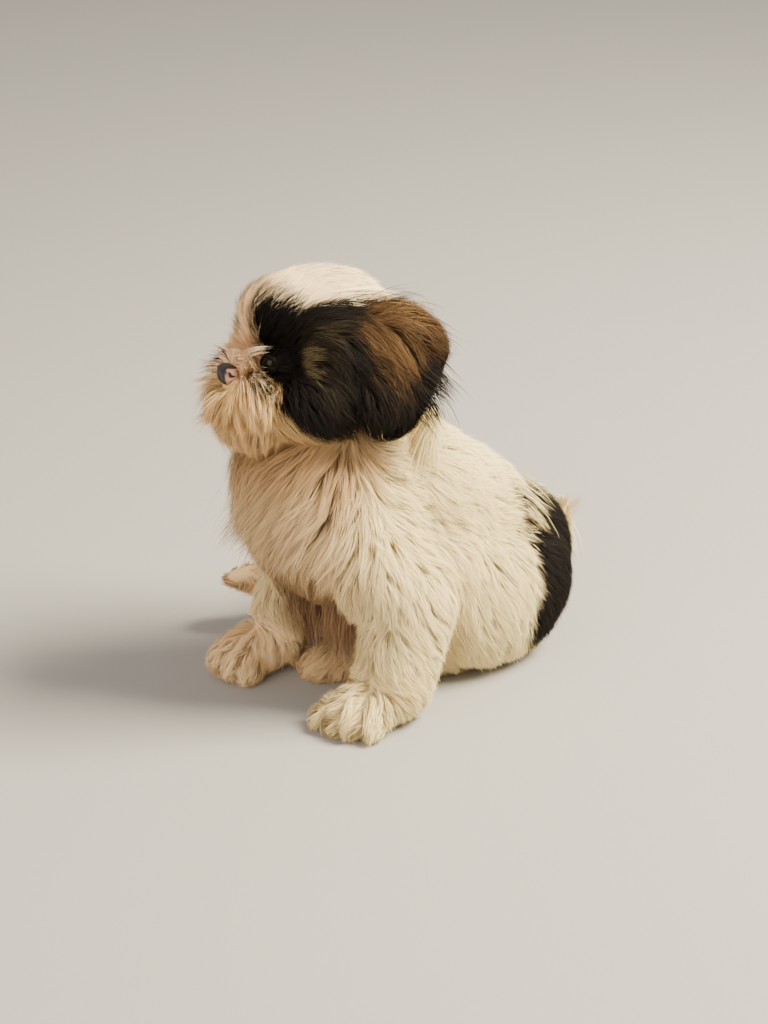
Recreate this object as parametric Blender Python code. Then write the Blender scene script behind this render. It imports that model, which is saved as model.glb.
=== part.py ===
"""A life-size shih tzu puppy, sitting, as a museum's still model.

It faces -X, with its left side towards -Y, and sits on the plane Z = 0. The flesh is fused from
ellipsoids and tapered limbs, each given by its size under the coat and the depth of its coat. Flat,
tapered locks rise from a core that reaches less than half way to their tips, and follow the lie of
the coat. Every named part is one closed solid with a thin gap to its neighbours. Sizes are in
centimetres, and the finished parts are scaled to metres.
"""

import math

import bmesh
import bpy
import numpy as np
from mathutils import Euler, Matrix, Vector
from mathutils.bvhtree import BVHTree

CM = 0.01
GAP = 0.03
SEED = 11
CORE_SHARE = 0.45
VOXEL = 0.32
SMOOTH_STEPS = 5
FAR = 30

# The frame's origin lies under the middle of the finished model's box.
MODEL_SHIFT = (-0.19, -0.764)

# The head is turned a little to the dog's right of its body, and tilted to that side.
HEAD_CENTRE = (-5.2, 0.4, 17.4)
HEAD_TURN = math.radians(-8.0)
HEAD_TILT = math.radians(-8.0)
HEAD_PLACE = Matrix.Translation(HEAD_CENTRE) @ Euler((HEAD_TILT, 0, HEAD_TURN)).to_matrix().to_4x4()
HEAD_INVERSE = HEAD_PLACE.inverted()
EYE_CENTRE = (-2.9, 1.62, 0.55)
EYE_RADIUS = 0.62
EYE_TURN = math.radians(25.0)
LID_OPENING = (0.5, 0.56, 0.46)
NOSE_CENTRE = (-4.5, 0.1, -0.1)
NOSE_RADII = (0.48, 0.78, 0.56)

# The neck is parted from the head above it and the torso below it by these tilted planes.
NECK_TOP = ((-4.6, 0.3, 14.2), -14)
NECK_FOOT = ((-4.2, 0.3, 11.6), -14)


def blob(centre, radii, coat, pitch=0.0, yaw=0.0):
    """One ellipsoid of the body: its place, its radii under the coat, and the coat's depth."""
    coat = (coat, coat, coat) if isinstance(coat, (int, float)) else coat
    turn = Euler((0, math.radians(pitch), math.radians(yaw))).to_matrix().to_4x4()
    return {"place": Matrix.Translation(centre) @ turn, "radii": radii, "coat": coat}


def limb(*joints):
    """A limb as joints in a row, each a centre, a radius under the coat, and the coat's depth."""
    return [blob(centre, (radius,) * 3, coat) for centre, radius, coat in joints]


def on_head(shape):
    """A shape given in the head's own frame, in the body's frame."""
    return {**shape, "place": HEAD_PLACE @ shape["place"]}


def mirrored(shape):
    flip = Matrix.Diagonal((1, -1, 1, 1))
    return {**shape, "place": flip @ shape["place"] @ flip}


TRUNK = (
    blob((-4.4, 0.2, 9.0), (3.5, 3.5, 4.4), (1.6, 1.2, 1.1), pitch=-10),  # chest
    blob((-5.0, 0.7, 11.6), (3.2, 3.4, 2.4), 1.2),  # ruff
    blob((-0.6, 0.2, 6.3), (4.5, 3.9, 4.2), 1.0, pitch=30),  # belly
    blob((-0.3, 0.3, 9.6), (4.1, 3.4, 3.4), (1.0, 1.0, 1.3), pitch=32),  # back
    blob((-0.6, 0.4, 3.0), (4.1, 3.4, 2.3), 0.6),  # groin
    blob((4.3, 0.2, 4.6), (4.0, 3.9, 3.9), 0.9),  # rump
    blob((-3.5, 0.3, 13.0), (3.4, 3.1, 2.8), 1.1),  # nape
)
HEAD = (
    blob((0.1, 0.0, 0.45), (3.35, 3.35, 3.3), 0.6),  # skull
    blob((-1.2, 0.0, 1.6), (2.0, 2.4, 2.1), 0.5),  # forehead
    blob((-2.6, -1.52, 0.5), (0.82, 0.85, 0.82), 0.25),  # left eye's rim
    blob((-2.6, 1.52, 0.5), (0.82, 0.85, 0.82), 0.25),  # right eye's rim
    blob((-1.2, -1.9, -1.3), (1.9, 1.5, 1.7), 0.6),  # left cheek
    blob((-1.2, 1.9, -1.3), (1.9, 1.5, 1.7), 0.6),  # right cheek
    blob((-3.2, 0.1, -1.2), (1.7, 1.9, 1.15), (0.8, 1.25, 0.5)),  # muzzle
    blob((-3.2, 0.1, -2.3), (1.5, 1.5, 0.9), (0.9, 0.9, 0.8)),  # chin
)
EAR = (
    blob((2.2, -2.75, 1.8), (1.5, 0.5, 0.75), (0.5, 0.4, 0.5)),
    blob((2.6, -3.45, 0.5), (2.1, 0.4, 1.5), (0.5, 0.5, 0.6)),
    blob((1.5, -3.75, -1.6), (1.6, 0.4, 1.5), (0.5, 0.5, 0.5)),
)
FORELEG_LEFT = limb(
    ((-4.0, -2.8, 7.2), 1.8, 0.7),
    ((-2.8, -3.7, 5.6), 1.7, 0.7),
    ((-4.2, -4.1, 2.0), 1.45, 0.75),
)
FOREPAW_LEFT = limb(((-4.0, -4.2, 1.4), 1.25, 0.5), ((-7.4, -4.3, 1.0), 1.0, 0.5))
FORELEG_RIGHT = limb(
    ((-5.2, 2.6, 7.2), 1.6, 0.7),
    ((-4.2, 3.4, 5.6), 1.5, 0.6),
    ((-5.5, 3.6, 2.0), 1.2, 0.65),
)
FOREPAW_RIGHT = limb(((-5.6, 3.5, 1.35), 1.15, 0.5), ((-7.6, 3.7, 1.0), 1.05, 0.5))
THIGH_LEFT = blob((3.1, -2.9, 3.9), (3.9, 1.8, 3.5), 0.6)
HINDFOOT_LEFT = limb(((0.4, -2.0, 1.1), 1.0, 0.4), ((-4.9, 0.6, 0.9), 0.85, 0.4))
THIGH_RIGHT = blob((2.3, 3.5, 4.0), (3.9, 1.9, 3.5), 0.6, yaw=-12)
HINDFOOT_RIGHT = limb(((-0.4, 5.2, 1.3), 1.0, 0.4), ((-4.9, 7.3, 2.3), 0.55, 0.35))
TAIL = limb(
    ((7.6, 0.4, 2.2), 0.8, 0.5),
    ((9.2, 0.5, 3.2), 0.6, 0.6),
    ((9.9, 0.6, 5.1), 0.35, 0.45),
)

# Each part's pieces: single ellipsoids, and limbs that taper from joint to joint.
PIECES = {
    "body": ((*TRUNK, *[on_head(shape) for shape in HEAD]), ()),
    "ear_left": ((), ([on_head(shape) for shape in EAR],)),
    "ear_right": ((), ([on_head(mirrored(shape)) for shape in EAR],)),
    "foreleg_left": ((), (FORELEG_LEFT, FOREPAW_LEFT)),
    "foreleg_right": ((), (FORELEG_RIGHT, FOREPAW_RIGHT)),
    "hindleg_left": ((THIGH_LEFT,), (HINDFOOT_LEFT,)),
    "hindleg_right": ((THIGH_RIGHT,), (HINDFOOT_RIGHT,)),
    "tail": ((), (TAIL,)),
}
CORE_FACES = {
    "body": 1500,
    "ear_left": 150,
    "ear_right": 150,
    "foreleg_left": 200,
    "foreleg_right": 200,
    "hindleg_left": 220,
    "hindleg_right": 220,
    "tail": 80,
}

# The coat's locks, by where they grow: how far apart, how long, how wide and how thick they are,
# and how far their tips stand out past the lie of the coat.
LOCKS = {
    "crown": (1.6, 2.5, 1.2, 0.28, 0.05),
    "cheek": (1.5, 2.4, 1.05, 0.26, 0.05),
    "muzzle": (1.1, 1.6, 0.75, 0.22, 0.5),
    "ear": (1.4, 2.9, 1.1, 0.26, 0.05),
    "neck": (1.9, 3.2, 1.4, 0.36, 0.15),
    "chest": (1.9, 3.2, 1.4, 0.36, 0.45),
    "torso": (2.2, 3.6, 1.8, 0.4, 0.1),
    "leg": (2.1, 2.9, 1.6, 0.34, 0.15),
    "foot": (1.25, 1.7, 0.85, 0.26, 0.1),
    "tail": (1.1, 2.4, 0.8, 0.24, 0.4),
}
# Along a lock, from root to tip: its height as a share of the coat's depth, and its width's share.
LOCK_HEIGHTS = (-0.25, 0.55, 0.85, 0.95)
LOCK_WIDTHS = (0.65, 1.0, 0.75, 0.0)
STRIP_UNDER = 0.5
WELD = 0.0004
TRIES = 12
ROOT_REACH = 0.35
LOWEST_ROOT = 0.5

CREAM = (0.78, 0.70, 0.60)
BUFF = (0.68, 0.55, 0.42)
BLACK_BROWN = (0.045, 0.033, 0.028)
DARK_EYE = (0.012, 0.008, 0.006)
LOOKS = {
    "head": (CREAM, 0.85),
    "neck": (BUFF, 0.85),
    "torso": (CREAM, 0.85),
    "tail": (CREAM, 0.85),
    "foreleg_left": (CREAM, 0.85),
    "foreleg_right": (CREAM, 0.85),
    "hindleg_left": (CREAM, 0.85),
    "hindleg_right": (CREAM, 0.85),
    "ear_left": (BLACK_BROWN, 0.8),
    "ear_right": (BLACK_BROWN, 0.8),
    "eye_left": (DARK_EYE, 0.08),
    "eye_right": (DARK_EYE, 0.08),
    "nose": ((0.30, 0.17, 0.15), 0.45),
}


def material(name, colour, roughness):
    made = bpy.data.materials.new(name)
    made.use_nodes = True
    shader = made.node_tree.nodes["Principled BSDF"]
    shader.inputs["Base Color"].default_value = (*colour, 1.0)
    shader.inputs["Roughness"].default_value = roughness
    shader.inputs["Metallic"].default_value = 0.0
    return made


def new_object(name, mesh):
    made = bpy.data.objects.new(name, mesh)
    bpy.context.scene.collection.objects.link(made)
    return made


def finished_mesh(bm, name="piece"):
    mesh = bpy.data.meshes.new(name)
    bm.to_mesh(mesh)
    bm.free()
    return mesh


def evaluated_mesh(obj):
    """The object's mesh with its modifiers applied, as a new mesh; the object is removed."""
    bpy.context.view_layer.update()
    graph = bpy.context.evaluated_depsgraph_get()
    mesh = bpy.data.meshes.new_from_object(obj.evaluated_get(graph))
    bpy.data.objects.remove(obj)
    return mesh


def add_ellipsoid(bm, shape, share, rings=14):
    radii = [r + share * c for r, c in zip(shape["radii"], shape["coat"])]
    place = shape["place"] @ Matrix.Diagonal((*radii, 1.0))
    bmesh.ops.create_uvsphere(bm, u_segments=2 * rings, v_segments=rings, radius=1.0, matrix=place)


def ellipsoid(centre, radii, rings=8, turn=Matrix.Identity(4)):
    """A closed ellipsoid given in the head's own frame."""
    bm = bmesh.new()
    place = HEAD_PLACE @ Matrix.Translation(centre) @ turn @ Matrix.Diagonal((*radii, 1.0))
    bmesh.ops.create_uvsphere(bm, u_segments=2 * rings, v_segments=rings, radius=1.0, matrix=place)
    bmesh.ops.triangulate(bm, faces=bm.faces)
    return finished_mesh(bm)


def add_limb(bm, joints, share):
    """Hulls of each pair of neighbouring joints, so that the limb tapers between them."""
    for first, second in zip(joints, joints[1:]):
        before = set(bm.verts)
        add_ellipsoid(bm, first, share, rings=8)
        add_ellipsoid(bm, second, share, rings=8)
        added = [v for v in bm.verts if v not in before]
        hull = bmesh.ops.convex_hull(bm, input=added)
        inside = list(set(hull["geom_interior"] + hull["geom_unused"]))
        bmesh.ops.delete(bm, geom=inside, context="VERTS")


def fused(parts, share, faces):
    """The parts' overlapping pieces as one smooth closed mesh of about that many triangles."""
    bm = bmesh.new()
    for part in parts:
        singles, limbs = PIECES[part]
        for shape in singles:
            add_ellipsoid(bm, shape, share)
        for joints in limbs:
            add_limb(bm, joints, share)
    obj = new_object("fused", finished_mesh(bm))
    remesh = obj.modifiers.new("fuse", "REMESH")
    remesh.mode = "VOXEL"
    remesh.voxel_size = VOXEL
    smooth = obj.modifiers.new("smooth", "SMOOTH")
    smooth.factor = 0.5
    smooth.iterations = SMOOTH_STEPS
    obj.modifiers.new("triangles", "TRIANGULATE")
    obj = new_object("fused", evaluated_mesh(obj))
    coarse = obj.modifiers.new("coarse", "DECIMATE")
    coarse.ratio = min(1.0, faces / len(obj.data.polygons))
    return evaluated_mesh(obj)


def largest(mesh):
    """The mesh with only its largest closed surface left."""
    bm = bmesh.new()
    bm.from_mesh(mesh)
    left = set(bm.faces)
    groups = []
    while left:
        group = {left.pop()}
        edge = list(group)
        while edge:
            face = edge.pop()
            for other in (f for e in face.edges for f in e.link_faces if f in left):
                left.discard(other)
                group.add(other)
                edge.append(other)
        groups.append(group)
    groups.sort(key=lambda g: sum(f.calc_area() for f in g))
    loose = [f for g in groups[:-1] for f in g]
    bmesh.ops.delete(bm, geom=loose, context="FACES")
    bmesh.ops.triangulate(bm, faces=bm.faces)
    bm.to_mesh(mesh)
    bm.free()
    return mesh


def welded(mesh):
    """The mesh with its closest points made one, and whether it is still one closed surface."""
    bm = bmesh.new()
    bm.from_mesh(mesh)
    bmesh.ops.remove_doubles(bm, verts=bm.verts, dist=WELD)
    bmesh.ops.dissolve_degenerate(bm, edges=bm.edges, dist=WELD)
    bmesh.ops.triangulate(bm, faces=bm.faces)
    by_corners = {}
    for face in bm.faces:
        by_corners.setdefault(frozenset(face.verts), []).append(face)
    flaps = [face for faces in by_corners.values() if len(faces) > 1 for face in faces]
    bmesh.ops.delete(bm, geom=flaps, context="FACES")
    closed = all(e.is_manifold for e in bm.edges) and all(v.is_manifold for v in bm.verts)
    bm.to_mesh(mesh)
    bm.free()
    return mesh, closed


def boolean(mesh, others, operation):
    """The mesh joined with, or cut by, the others; the largest closed surface is kept."""
    obj = new_object("changed", mesh)
    group = bpy.data.collections.new("pieces")
    bpy.context.scene.collection.children.link(group)
    for other in others:
        group.objects.link(bpy.data.objects.new("piece", other))
    change = obj.modifiers.new("change", "BOOLEAN")
    change.operand_type = "COLLECTION"
    change.collection = group
    change.operation = operation
    change.solver = "MANIFOLD"
    result = evaluated_mesh(obj)
    for piece in list(group.objects):
        bpy.data.objects.remove(piece)
    bpy.data.collections.remove(group)
    return largest(result)


def grown(mesh):
    """A copy of a smooth closed mesh with its surface moved out by the gap between two parts."""
    bm = bmesh.new()
    bm.from_mesh(mesh)
    bm.normal_update()
    moved = [v.co + GAP * v.normal * min(v.calc_shell_factor(), 1.5) for v in bm.verts]
    for vertex, place in zip(bm.verts, moved):
        vertex.co = place
    return finished_mesh(bm)


def box_mesh(low, high, turn=Matrix.Identity(4)):
    bm = bmesh.new()
    size = Vector(high) - Vector(low)
    middle = (Vector(high) + Vector(low)) / 2
    place = turn @ Matrix.Translation(middle) @ Matrix.Diagonal((*size, 1.0))
    bmesh.ops.create_cube(bm, size=1.0, matrix=place)
    return finished_mesh(bm)


def slab(point, pitch, low, high):
    """A wide slab between two heights along a tilted axis through that point."""
    turn = Matrix.Translation(point) @ Matrix.Rotation(math.radians(pitch), 4, "Y")
    return box_mesh((-FAR, -FAR, low), (FAR, FAR, high), turn)


def near(first, second):
    """Whether the boxes round two meshes come within the gap of each other."""
    boxes = []
    for mesh in (first, second):
        places = np.array([v.co for v in mesh.vertices])
        boxes.append((places.min(axis=0), places.max(axis=0)))
    (low, high), (other_low, other_high) = boxes
    return bool(np.all(low < other_high + GAP) and np.all(other_low < high + GAP))


def tree(mesh):
    places = [v.co.copy() for v in mesh.vertices]
    return BVHTree.FromPolygons(places, [p.vertices[:] for p in mesh.polygons])


def corners(rows, number, growth=0.0):
    """The corners of a lock's cross-section there, its sides moved out by the growth."""
    middle, side, rise = rows[number]
    if side.length < 0.01:
        along = (middle - rows[number - 1][0]).normalized()
        return [middle + 2 * growth * along]
    foot = middle - STRIP_UNDER * rise
    wide = side.length
    high = (1 + STRIP_UNDER) * rise.length
    inner = wide * high / (wide + math.hypot(wide, high))
    centre = foot + inner * rise.normalized()
    points = (foot + side, middle + rise, foot - side)
    return [centre + (point - centre) * (1 + growth / inner) for point in points]


def strip(rows):
    """A closed strip, flat below and ridged above; each row is its middle, half side and rise."""
    bm = bmesh.new()
    rings = [[bm.verts.new(c) for c in corners(rows, number)] for number in range(len(rows))]
    for first, second in zip(rings, rings[1:]):
        for i in range(3):
            j = (i + 1) % 3
            if len(second) == 1:
                bm.faces.new((first[i], first[j], second[0]))
            else:
                bm.faces.new((first[i], first[j], second[j]))
                bm.faces.new((first[i], second[j], second[i]))
    for ring in (rings[0], rings[-1]):
        if len(ring) == 3:
            bm.faces.new(ring)
    bmesh.ops.recalc_face_normals(bm, faces=bm.faces)
    return finished_mesh(bm)


def sheath(rows):
    """Hulls round each length of a lock, each lapping the next; they hold it with a gap all round."""
    hulls = []
    for number in range(len(rows) - 1):
        bm = bmesh.new()
        ahead = 0.5 * GAP * (rows[number + 1][0] - rows[number][0]).normalized()
        points = corners(rows, number, GAP)
        points += [corner + ahead for corner in corners(rows, number + 1, GAP)]
        hull = bmesh.ops.convex_hull(bm, input=[bm.verts.new(point) for point in points])
        inside = list(set(hull["geom_interior"] + hull["geom_unused"]))
        bmesh.ops.delete(bm, geom=inside, context="VERTS")
        hulls.append(finished_mesh(bm))
    return hulls


def region(part, place):
    """Where on the part a lock grows, by name."""
    if part in ("ear_left", "ear_right"):
        return "ear"
    if part == "head":
        x, y, z = HEAD_INVERSE @ place
        if x < -1.9 and z < 0.1:
            return "muzzle"
        return "crown" if z > 1.2 and abs(y) < 2.6 else "cheek"
    if part.startswith(("foreleg", "hindleg")):
        return "foot" if place.z < 2.3 and place.x < -1.5 else "leg"
    if part == "torso" and place.x < -4.5:
        return "chest"
    return part


def lie(part, place):
    """Which way the coat lies there, before it is laid along the surface."""
    where = region(part, place)
    turn = HEAD_PLACE.to_3x3()
    x, y, z = HEAD_INVERSE @ place
    outward = math.copysign(1.0, y)
    if where == "ear":
        return turn @ Vector((0.3 + 0.25 * (x - 1.5), 0, -1))
    if where == "crown":
        return turn @ Vector((1.0, 0.25 * y, 0.2 + 0.4 * max(0.0, -x)))
    if where == "muzzle":
        return turn @ Vector((0.15 - 0.1 * z, 0.55 * (y - 0.1), -0.55))
    if where == "cheek":
        return turn @ Vector((0.7, 0.1 * outward, -0.8))
    if where == "foot":
        ankle = {
            "foreleg_left": (-4.4, -4.2),
            "foreleg_right": (-5.4, 3.5),
            "hindleg_left": (-2.5, -0.6),
            "hindleg_right": (-2.0, 6.1),
        }[part]
        away = Vector((place.x - ankle[0], place.y - ankle[1], 0)).normalized()
        return away + Vector((-0.3, 0, -0.35))
    if where == "leg":
        back = 0.55 if part.startswith("hindleg") else 0.2
        return Vector((back, 0, -1))
    if where == "tail":
        return Vector((0.35, 0.05, 1))
    if where == "neck":
        return Vector((0.15, 0.1 * place.y, -1))
    back = 0.25 + 0.16 * max(0.0, place.z - 6 + 0.5 * place.x) * (place.x > -4)
    return Vector((back, 0.03 * place.y, -1 if place.x > -4 else -1.2))


def unfolded(rows):
    """Whether a strip's rows follow each other with no fold or twist through itself."""
    for (middle, side, rise), (next_middle, next_side, next_rise) in zip(rows, rows[1:]):
        travel = next_middle - middle
        for across, lift in ((1, -STRIP_UNDER), (-1, -STRIP_UNDER), (0, 1)):
            step = travel + across * (next_side - side) + lift * (next_rise - rise)
            if step.dot(travel) < 0.35 * travel.length_squared:
                return False
        if rise.normalized().dot(next_rise.normalized()) < 0.55:
            return False
    mesh = strip(rows)
    faces = tree(mesh)
    points = [set(p.vertices) for p in mesh.polygons]
    return all(points[i] & points[j] for i, j in faces.overlap(faces))


def lock_rows(part, root, random, others):
    """A lock's rows along the coat's lie, rising from the core to the coat's surface.

    There are none where it would run over a part that lies above its own.
    """
    spacing, length, width, thick, lift = LOCKS[region(part, root)]
    length *= random.uniform(0.85, 1.15)
    width *= random.uniform(0.85, 1.15)
    sway = random.uniform(-0.22, 0.22)
    rows = []
    place = root
    direction = None
    for number, (height, share) in enumerate(zip(LOCK_HEIGHTS, LOCK_WIDTHS)):
        surface, up = CORE_TREE.find_nearest(place)[:2]
        if any(other.find_nearest(surface)[3] < 0.25 for other in others):
            return []
        hit, _, _, depth = COAT_TREE.ray_cast(surface + 0.01 * up, up, 3.0)
        depth = min(depth, 1.2) if hit else 0.3
        wanted = lie(part, surface).normalized()
        wanted += sway * up.cross(wanted)
        direction = wanted if direction is None else 0.5 * direction + 0.5 * wanted
        direction = (direction - direction.dot(up) * up).normalized()
        stand_out = lift * (number / (len(LOCK_HEIGHTS) - 1)) ** 2
        middle = surface + up * (height * depth + stand_out - 0.1 * (height < 0))
        middle.z = max(middle.z, 0.6 * thick)
        side = 0.5 * width * share * direction.cross(up).normalized()
        rows.append((middle, side, 0.65 * thick * (0.4 + 0.6 * share) * up))
        place = surface + direction * length / (len(LOCK_HEIGHTS) - 1)
    return rows if unfolded(rows) else []


def clear_of_face(place):
    """Whether a lock's root stays off the bare nose, the eyes and the mouth."""
    local = HEAD_INVERSE @ place
    if (local - Vector(NOSE_CENTRE)).length < 0.95:
        return False
    if local.x < -3.6 and abs(local.y - NOSE_CENTRE[1]) < 1.0 and -2.4 < local.z < -0.5:
        return False
    eyes = [Vector((EYE_CENTRE[0], s * EYE_CENTRE[1], EYE_CENTRE[2])) for s in (-1, 1)]
    return min((local - eye).length for eye in eyes) > 1.05


def lock_roots(part, core, random, others):
    """Points spread evenly over the part's open surface."""
    places = np.array([v.co for v in core.vertices])
    triangles = np.array([p.vertices for p in core.polygons])
    first, second, third = (places[triangles[:, i]] for i in range(3))
    area = np.linalg.norm(np.cross(second - first, third - first), axis=1)
    picked = random.choice(len(triangles), size=2600, p=area / area.sum())
    mix = random.dirichlet((1, 1, 1), size=len(picked))
    points = mix[:, :1] * first[picked] + mix[:, 1:2] * second[picked] + mix[:, 2:] * third[picked]
    roots = []
    for point in points:
        place = Vector(point)
        surface, up, _, distance = CORE_TREE.find_nearest(place)
        if distance > ROOT_REACH or place.z < LOWEST_ROOT or up.z < -0.55:
            continue
        if part == "head" and not clear_of_face(place):
            continue
        if any(other.find_nearest(place)[3] < 0.25 for other in others):
            continue
        spacing = LOCKS[region(part, place)][0]
        if all((place - root).length > spacing for root in roots):
            roots.append(place)
    return roots


for obj in list(bpy.data.objects):
    bpy.data.objects.remove(obj)

whole = list(PIECES)
core_guide = fused(whole, CORE_SHARE, 5000)
coat_guide = fused(whole, 1.0, 5000)
CORE_TREE = tree(core_guide)
COAT_TREE = tree(coat_guide)

cores = {part: fused([part], CORE_SHARE, faces) for part, faces in CORE_FACES.items()}
body = cores.pop("body")
cores["head"] = boolean(body.copy(), [slab(*NECK_TOP, -FAR, 0)], "DIFFERENCE")
cores["neck"] = boolean(body.copy(), [slab(*NECK_TOP, -GAP, FAR), slab(*NECK_FOOT, -FAR, 0)], "DIFFERENCE")
cores["torso"] = boolean(body, [slab(*NECK_FOOT, -GAP, FAR)], "DIFFERENCE")

order = ("ear_left", "ear_right", "head", "neck", "torso", "tail")
order += ("foreleg_left", "foreleg_right", "hindleg_left", "hindleg_right")
made = {}
cutters = {}

# The eyeballs, set in openings with an upper and a lower lid round each.
openings = []
lids = []
for side, sign in (("left", -1), ("right", 1)):
    centre = Vector((EYE_CENTRE[0], sign * EYE_CENTRE[1], EYE_CENTRE[2]))
    made[f"eye_{side}"] = ellipsoid(centre, (EYE_RADIUS,) * 3)
    cutters[f"eye_{side}"] = ellipsoid(centre, (EYE_RADIUS + 2.5 * GAP,) * 3, rings=6)
    turn = Matrix.Rotation(-sign * EYE_TURN, 3, "Z")
    gaze = turn @ Vector((-1, 0, 0))
    openings.append(ellipsoid(centre + 0.55 * gaze, LID_OPENING, 5, turn.to_4x4()))
    for upper in (1, -1):
        rows = []
        for step in range(5):
            angle = math.pi * step / 4
            across = turn @ Vector((0, math.cos(angle), 0))
            round_eye = across + Vector((0, 0, upper * 0.82 * math.sin(angle)))
            fullness = 0.4 + 0.6 * math.sin(angle)
            middle = centre + 0.36 * gaze + 0.6 * round_eye
            side_way = HEAD_PLACE.to_3x3() @ round_eye.normalized() * 0.13 * fullness
            rise = HEAD_PLACE.to_3x3() @ gaze * 0.16 * fullness
            rows.append((HEAD_PLACE @ middle, side_way, rise))
        lids.append(strip(rows))

# The bare nose, with a nostril and its slit on each side.
nose = ellipsoid(NOSE_CENTRE, NOSE_RADII, rings=7)
cutters["nose"] = ellipsoid(NOSE_CENTRE, [r + 2 * GAP for r in NOSE_RADII], rings=6)
hollows = []
for sign in (-1, 1):
    x, y, z = NOSE_CENTRE
    turn = Matrix.Rotation(math.radians(sign * 30), 4, "X")
    hollows.append(ellipsoid((x - 0.42, y + sign * 0.3, z), (0.22, 0.17, 0.12), 3, turn))
    hollows.append(ellipsoid((x - 0.2, y + sign * 0.62, z - 0.08), (0.3, 0.2, 0.06), 3, turn))
made["nose"] = boolean(nose, hollows, "DIFFERENCE")


def round_muzzle(height, half_tall, deep, reach):
    """A strip round the front of the muzzle at that height, tapering to its two corners."""
    rows = []
    for step in range(7):
        angle = reach * (step / 3 - 1)
        start = HEAD_PLACE @ Vector((-2.9, NOSE_CENTRE[1], height - 0.12 * math.sin(2 * abs(angle))))
        way = HEAD_PLACE.to_3x3() @ Vector((-math.cos(angle), math.sin(angle), 0))
        middle = CORE_TREE.ray_cast(start, way, 5.0)[0]
        fullness = 0.3 + 0.7 * math.cos(angle / reach * math.pi / 2)
        tall = HEAD_PLACE.to_3x3() @ Vector((0, 0, half_tall * fullness))
        rows.append((middle, tall, way * deep * fullness))
    return strip(rows)


# The lips above and below the line of the mouth, and the cleft up to the nose.
MOUTH_HEIGHT = -1.85
mouth_reach = math.radians(62)
lips = [round_muzzle(MOUTH_HEIGHT + 0.17, 0.14, 0.12, mouth_reach)]
lips.append(round_muzzle(MOUTH_HEIGHT - 0.17, 0.14, 0.12, mouth_reach))
mouth_line = [round_muzzle(MOUTH_HEIGHT, 0.07, -0.25, mouth_reach)]
cleft = ellipsoid((-5.2, NOSE_CENTRE[1], -1.15), (0.35, 0.06, 0.75), 4)
cores["head"] = boolean(cores["head"], lips + lids, "UNION")
cores["head"] = boolean(cores["head"], mouth_line + openings + [cleft], "DIFFERENCE")

# The cup of each ear is hollowed from its inner face, towards its front edge.
cups = {}
for side, sign in (("left", -1), ("right", 1)):
    cups[f"ear_{side}"] = [ellipsoid((1.2, sign * 3.1, -0.3), (1.6, 0.45, 1.7), 5)]

# The coated parts, each cut clear of those above it; a draw of locks that leaves a sliver is redrawn.
for number, part in enumerate(order):
    core = cores[part]
    above = [tree(cores[other]) for other in order[:number] if other in cores]
    for attempt in range(TRIES):
        random = np.random.default_rng((SEED, number, attempt))
        roots = lock_roots(part, core, random, above)
        rows = [lock_rows(part, root, random, above) for root in roots]
        rows = [row for row in rows if row]
        full = boolean(core.copy(), [strip(row) for row in rows], "UNION")
        cuts = [box_mesh((-FAR, -FAR, -FAR), (FAR, FAR, 0))]
        cuts += cups.get(part, [])
        cuts += [cutter for cutter in cutters.values() if near(full, cutter)]
        made[part], closed = welded(boolean(full, cuts, "DIFFERENCE"))
        if closed:
            break
    sheaths = [hull for row in rows for hull in sheath(row)]
    cutters[part] = boolean(grown(core), sheaths, "UNION")

for name, mesh in made.items():
    mesh.transform(Matrix.Translation((*MODEL_SHIFT, 0)))
    mesh.transform(Matrix.Scale(CM, 4))
    mesh.polygons.foreach_set("use_smooth", [False] * len(mesh.polygons))
    mesh.materials.clear()
    mesh.materials.append(material(name, *LOOKS[name]))
    new_object(name, mesh)
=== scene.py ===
import math

import bmesh
import bpy
import numpy as np
from mathutils import Euler, Matrix, Vector
from mathutils.bvhtree import BVHTree
from mathutils.kdtree import KDTree


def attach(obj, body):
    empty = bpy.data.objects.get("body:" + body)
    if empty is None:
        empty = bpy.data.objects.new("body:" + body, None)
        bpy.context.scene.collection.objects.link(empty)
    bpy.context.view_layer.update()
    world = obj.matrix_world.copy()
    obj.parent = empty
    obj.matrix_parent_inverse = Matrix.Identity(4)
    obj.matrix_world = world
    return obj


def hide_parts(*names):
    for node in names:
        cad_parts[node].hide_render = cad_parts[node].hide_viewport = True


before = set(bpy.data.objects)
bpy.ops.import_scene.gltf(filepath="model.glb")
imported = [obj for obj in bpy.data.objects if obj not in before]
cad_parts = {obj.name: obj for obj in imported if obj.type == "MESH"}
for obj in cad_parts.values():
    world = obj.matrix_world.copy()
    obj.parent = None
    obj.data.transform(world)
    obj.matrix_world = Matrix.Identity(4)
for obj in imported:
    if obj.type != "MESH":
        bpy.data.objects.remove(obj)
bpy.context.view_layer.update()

# Camera: a person standing over the puppy, looking down at it from its left and a little in
# front. Sizes of the body are in centimetres, and the finished pieces are scaled to metres.
CM = 0.01
MODEL_SHIFT = (-0.19, -0.764)
VIEW_TURN = math.radians(-36.0)
VIEW_DOWN = math.radians(26.4)
EYE_POINT = Vector((-0.5983 + CM * MODEL_SHIFT[0], -0.7995 + CM * MODEL_SHIFT[1], 0.576))
level = Vector((-math.sin(VIEW_TURN), math.cos(VIEW_TURN), 0))
view_right = Vector((math.cos(VIEW_TURN), math.sin(VIEW_TURN), 0))
view_way = math.cos(VIEW_DOWN) * level - math.sin(VIEW_DOWN) * Vector((0, 0, 1))
view_up = math.sin(VIEW_DOWN) * level + math.cos(VIEW_DOWN) * Vector((0, 0, 1))
LENS = 80.33
FILM_HEIGHT = 36.0
camera = bpy.data.objects.new("camera", bpy.data.cameras.new("camera"))
bpy.context.scene.collection.objects.link(camera)
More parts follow.
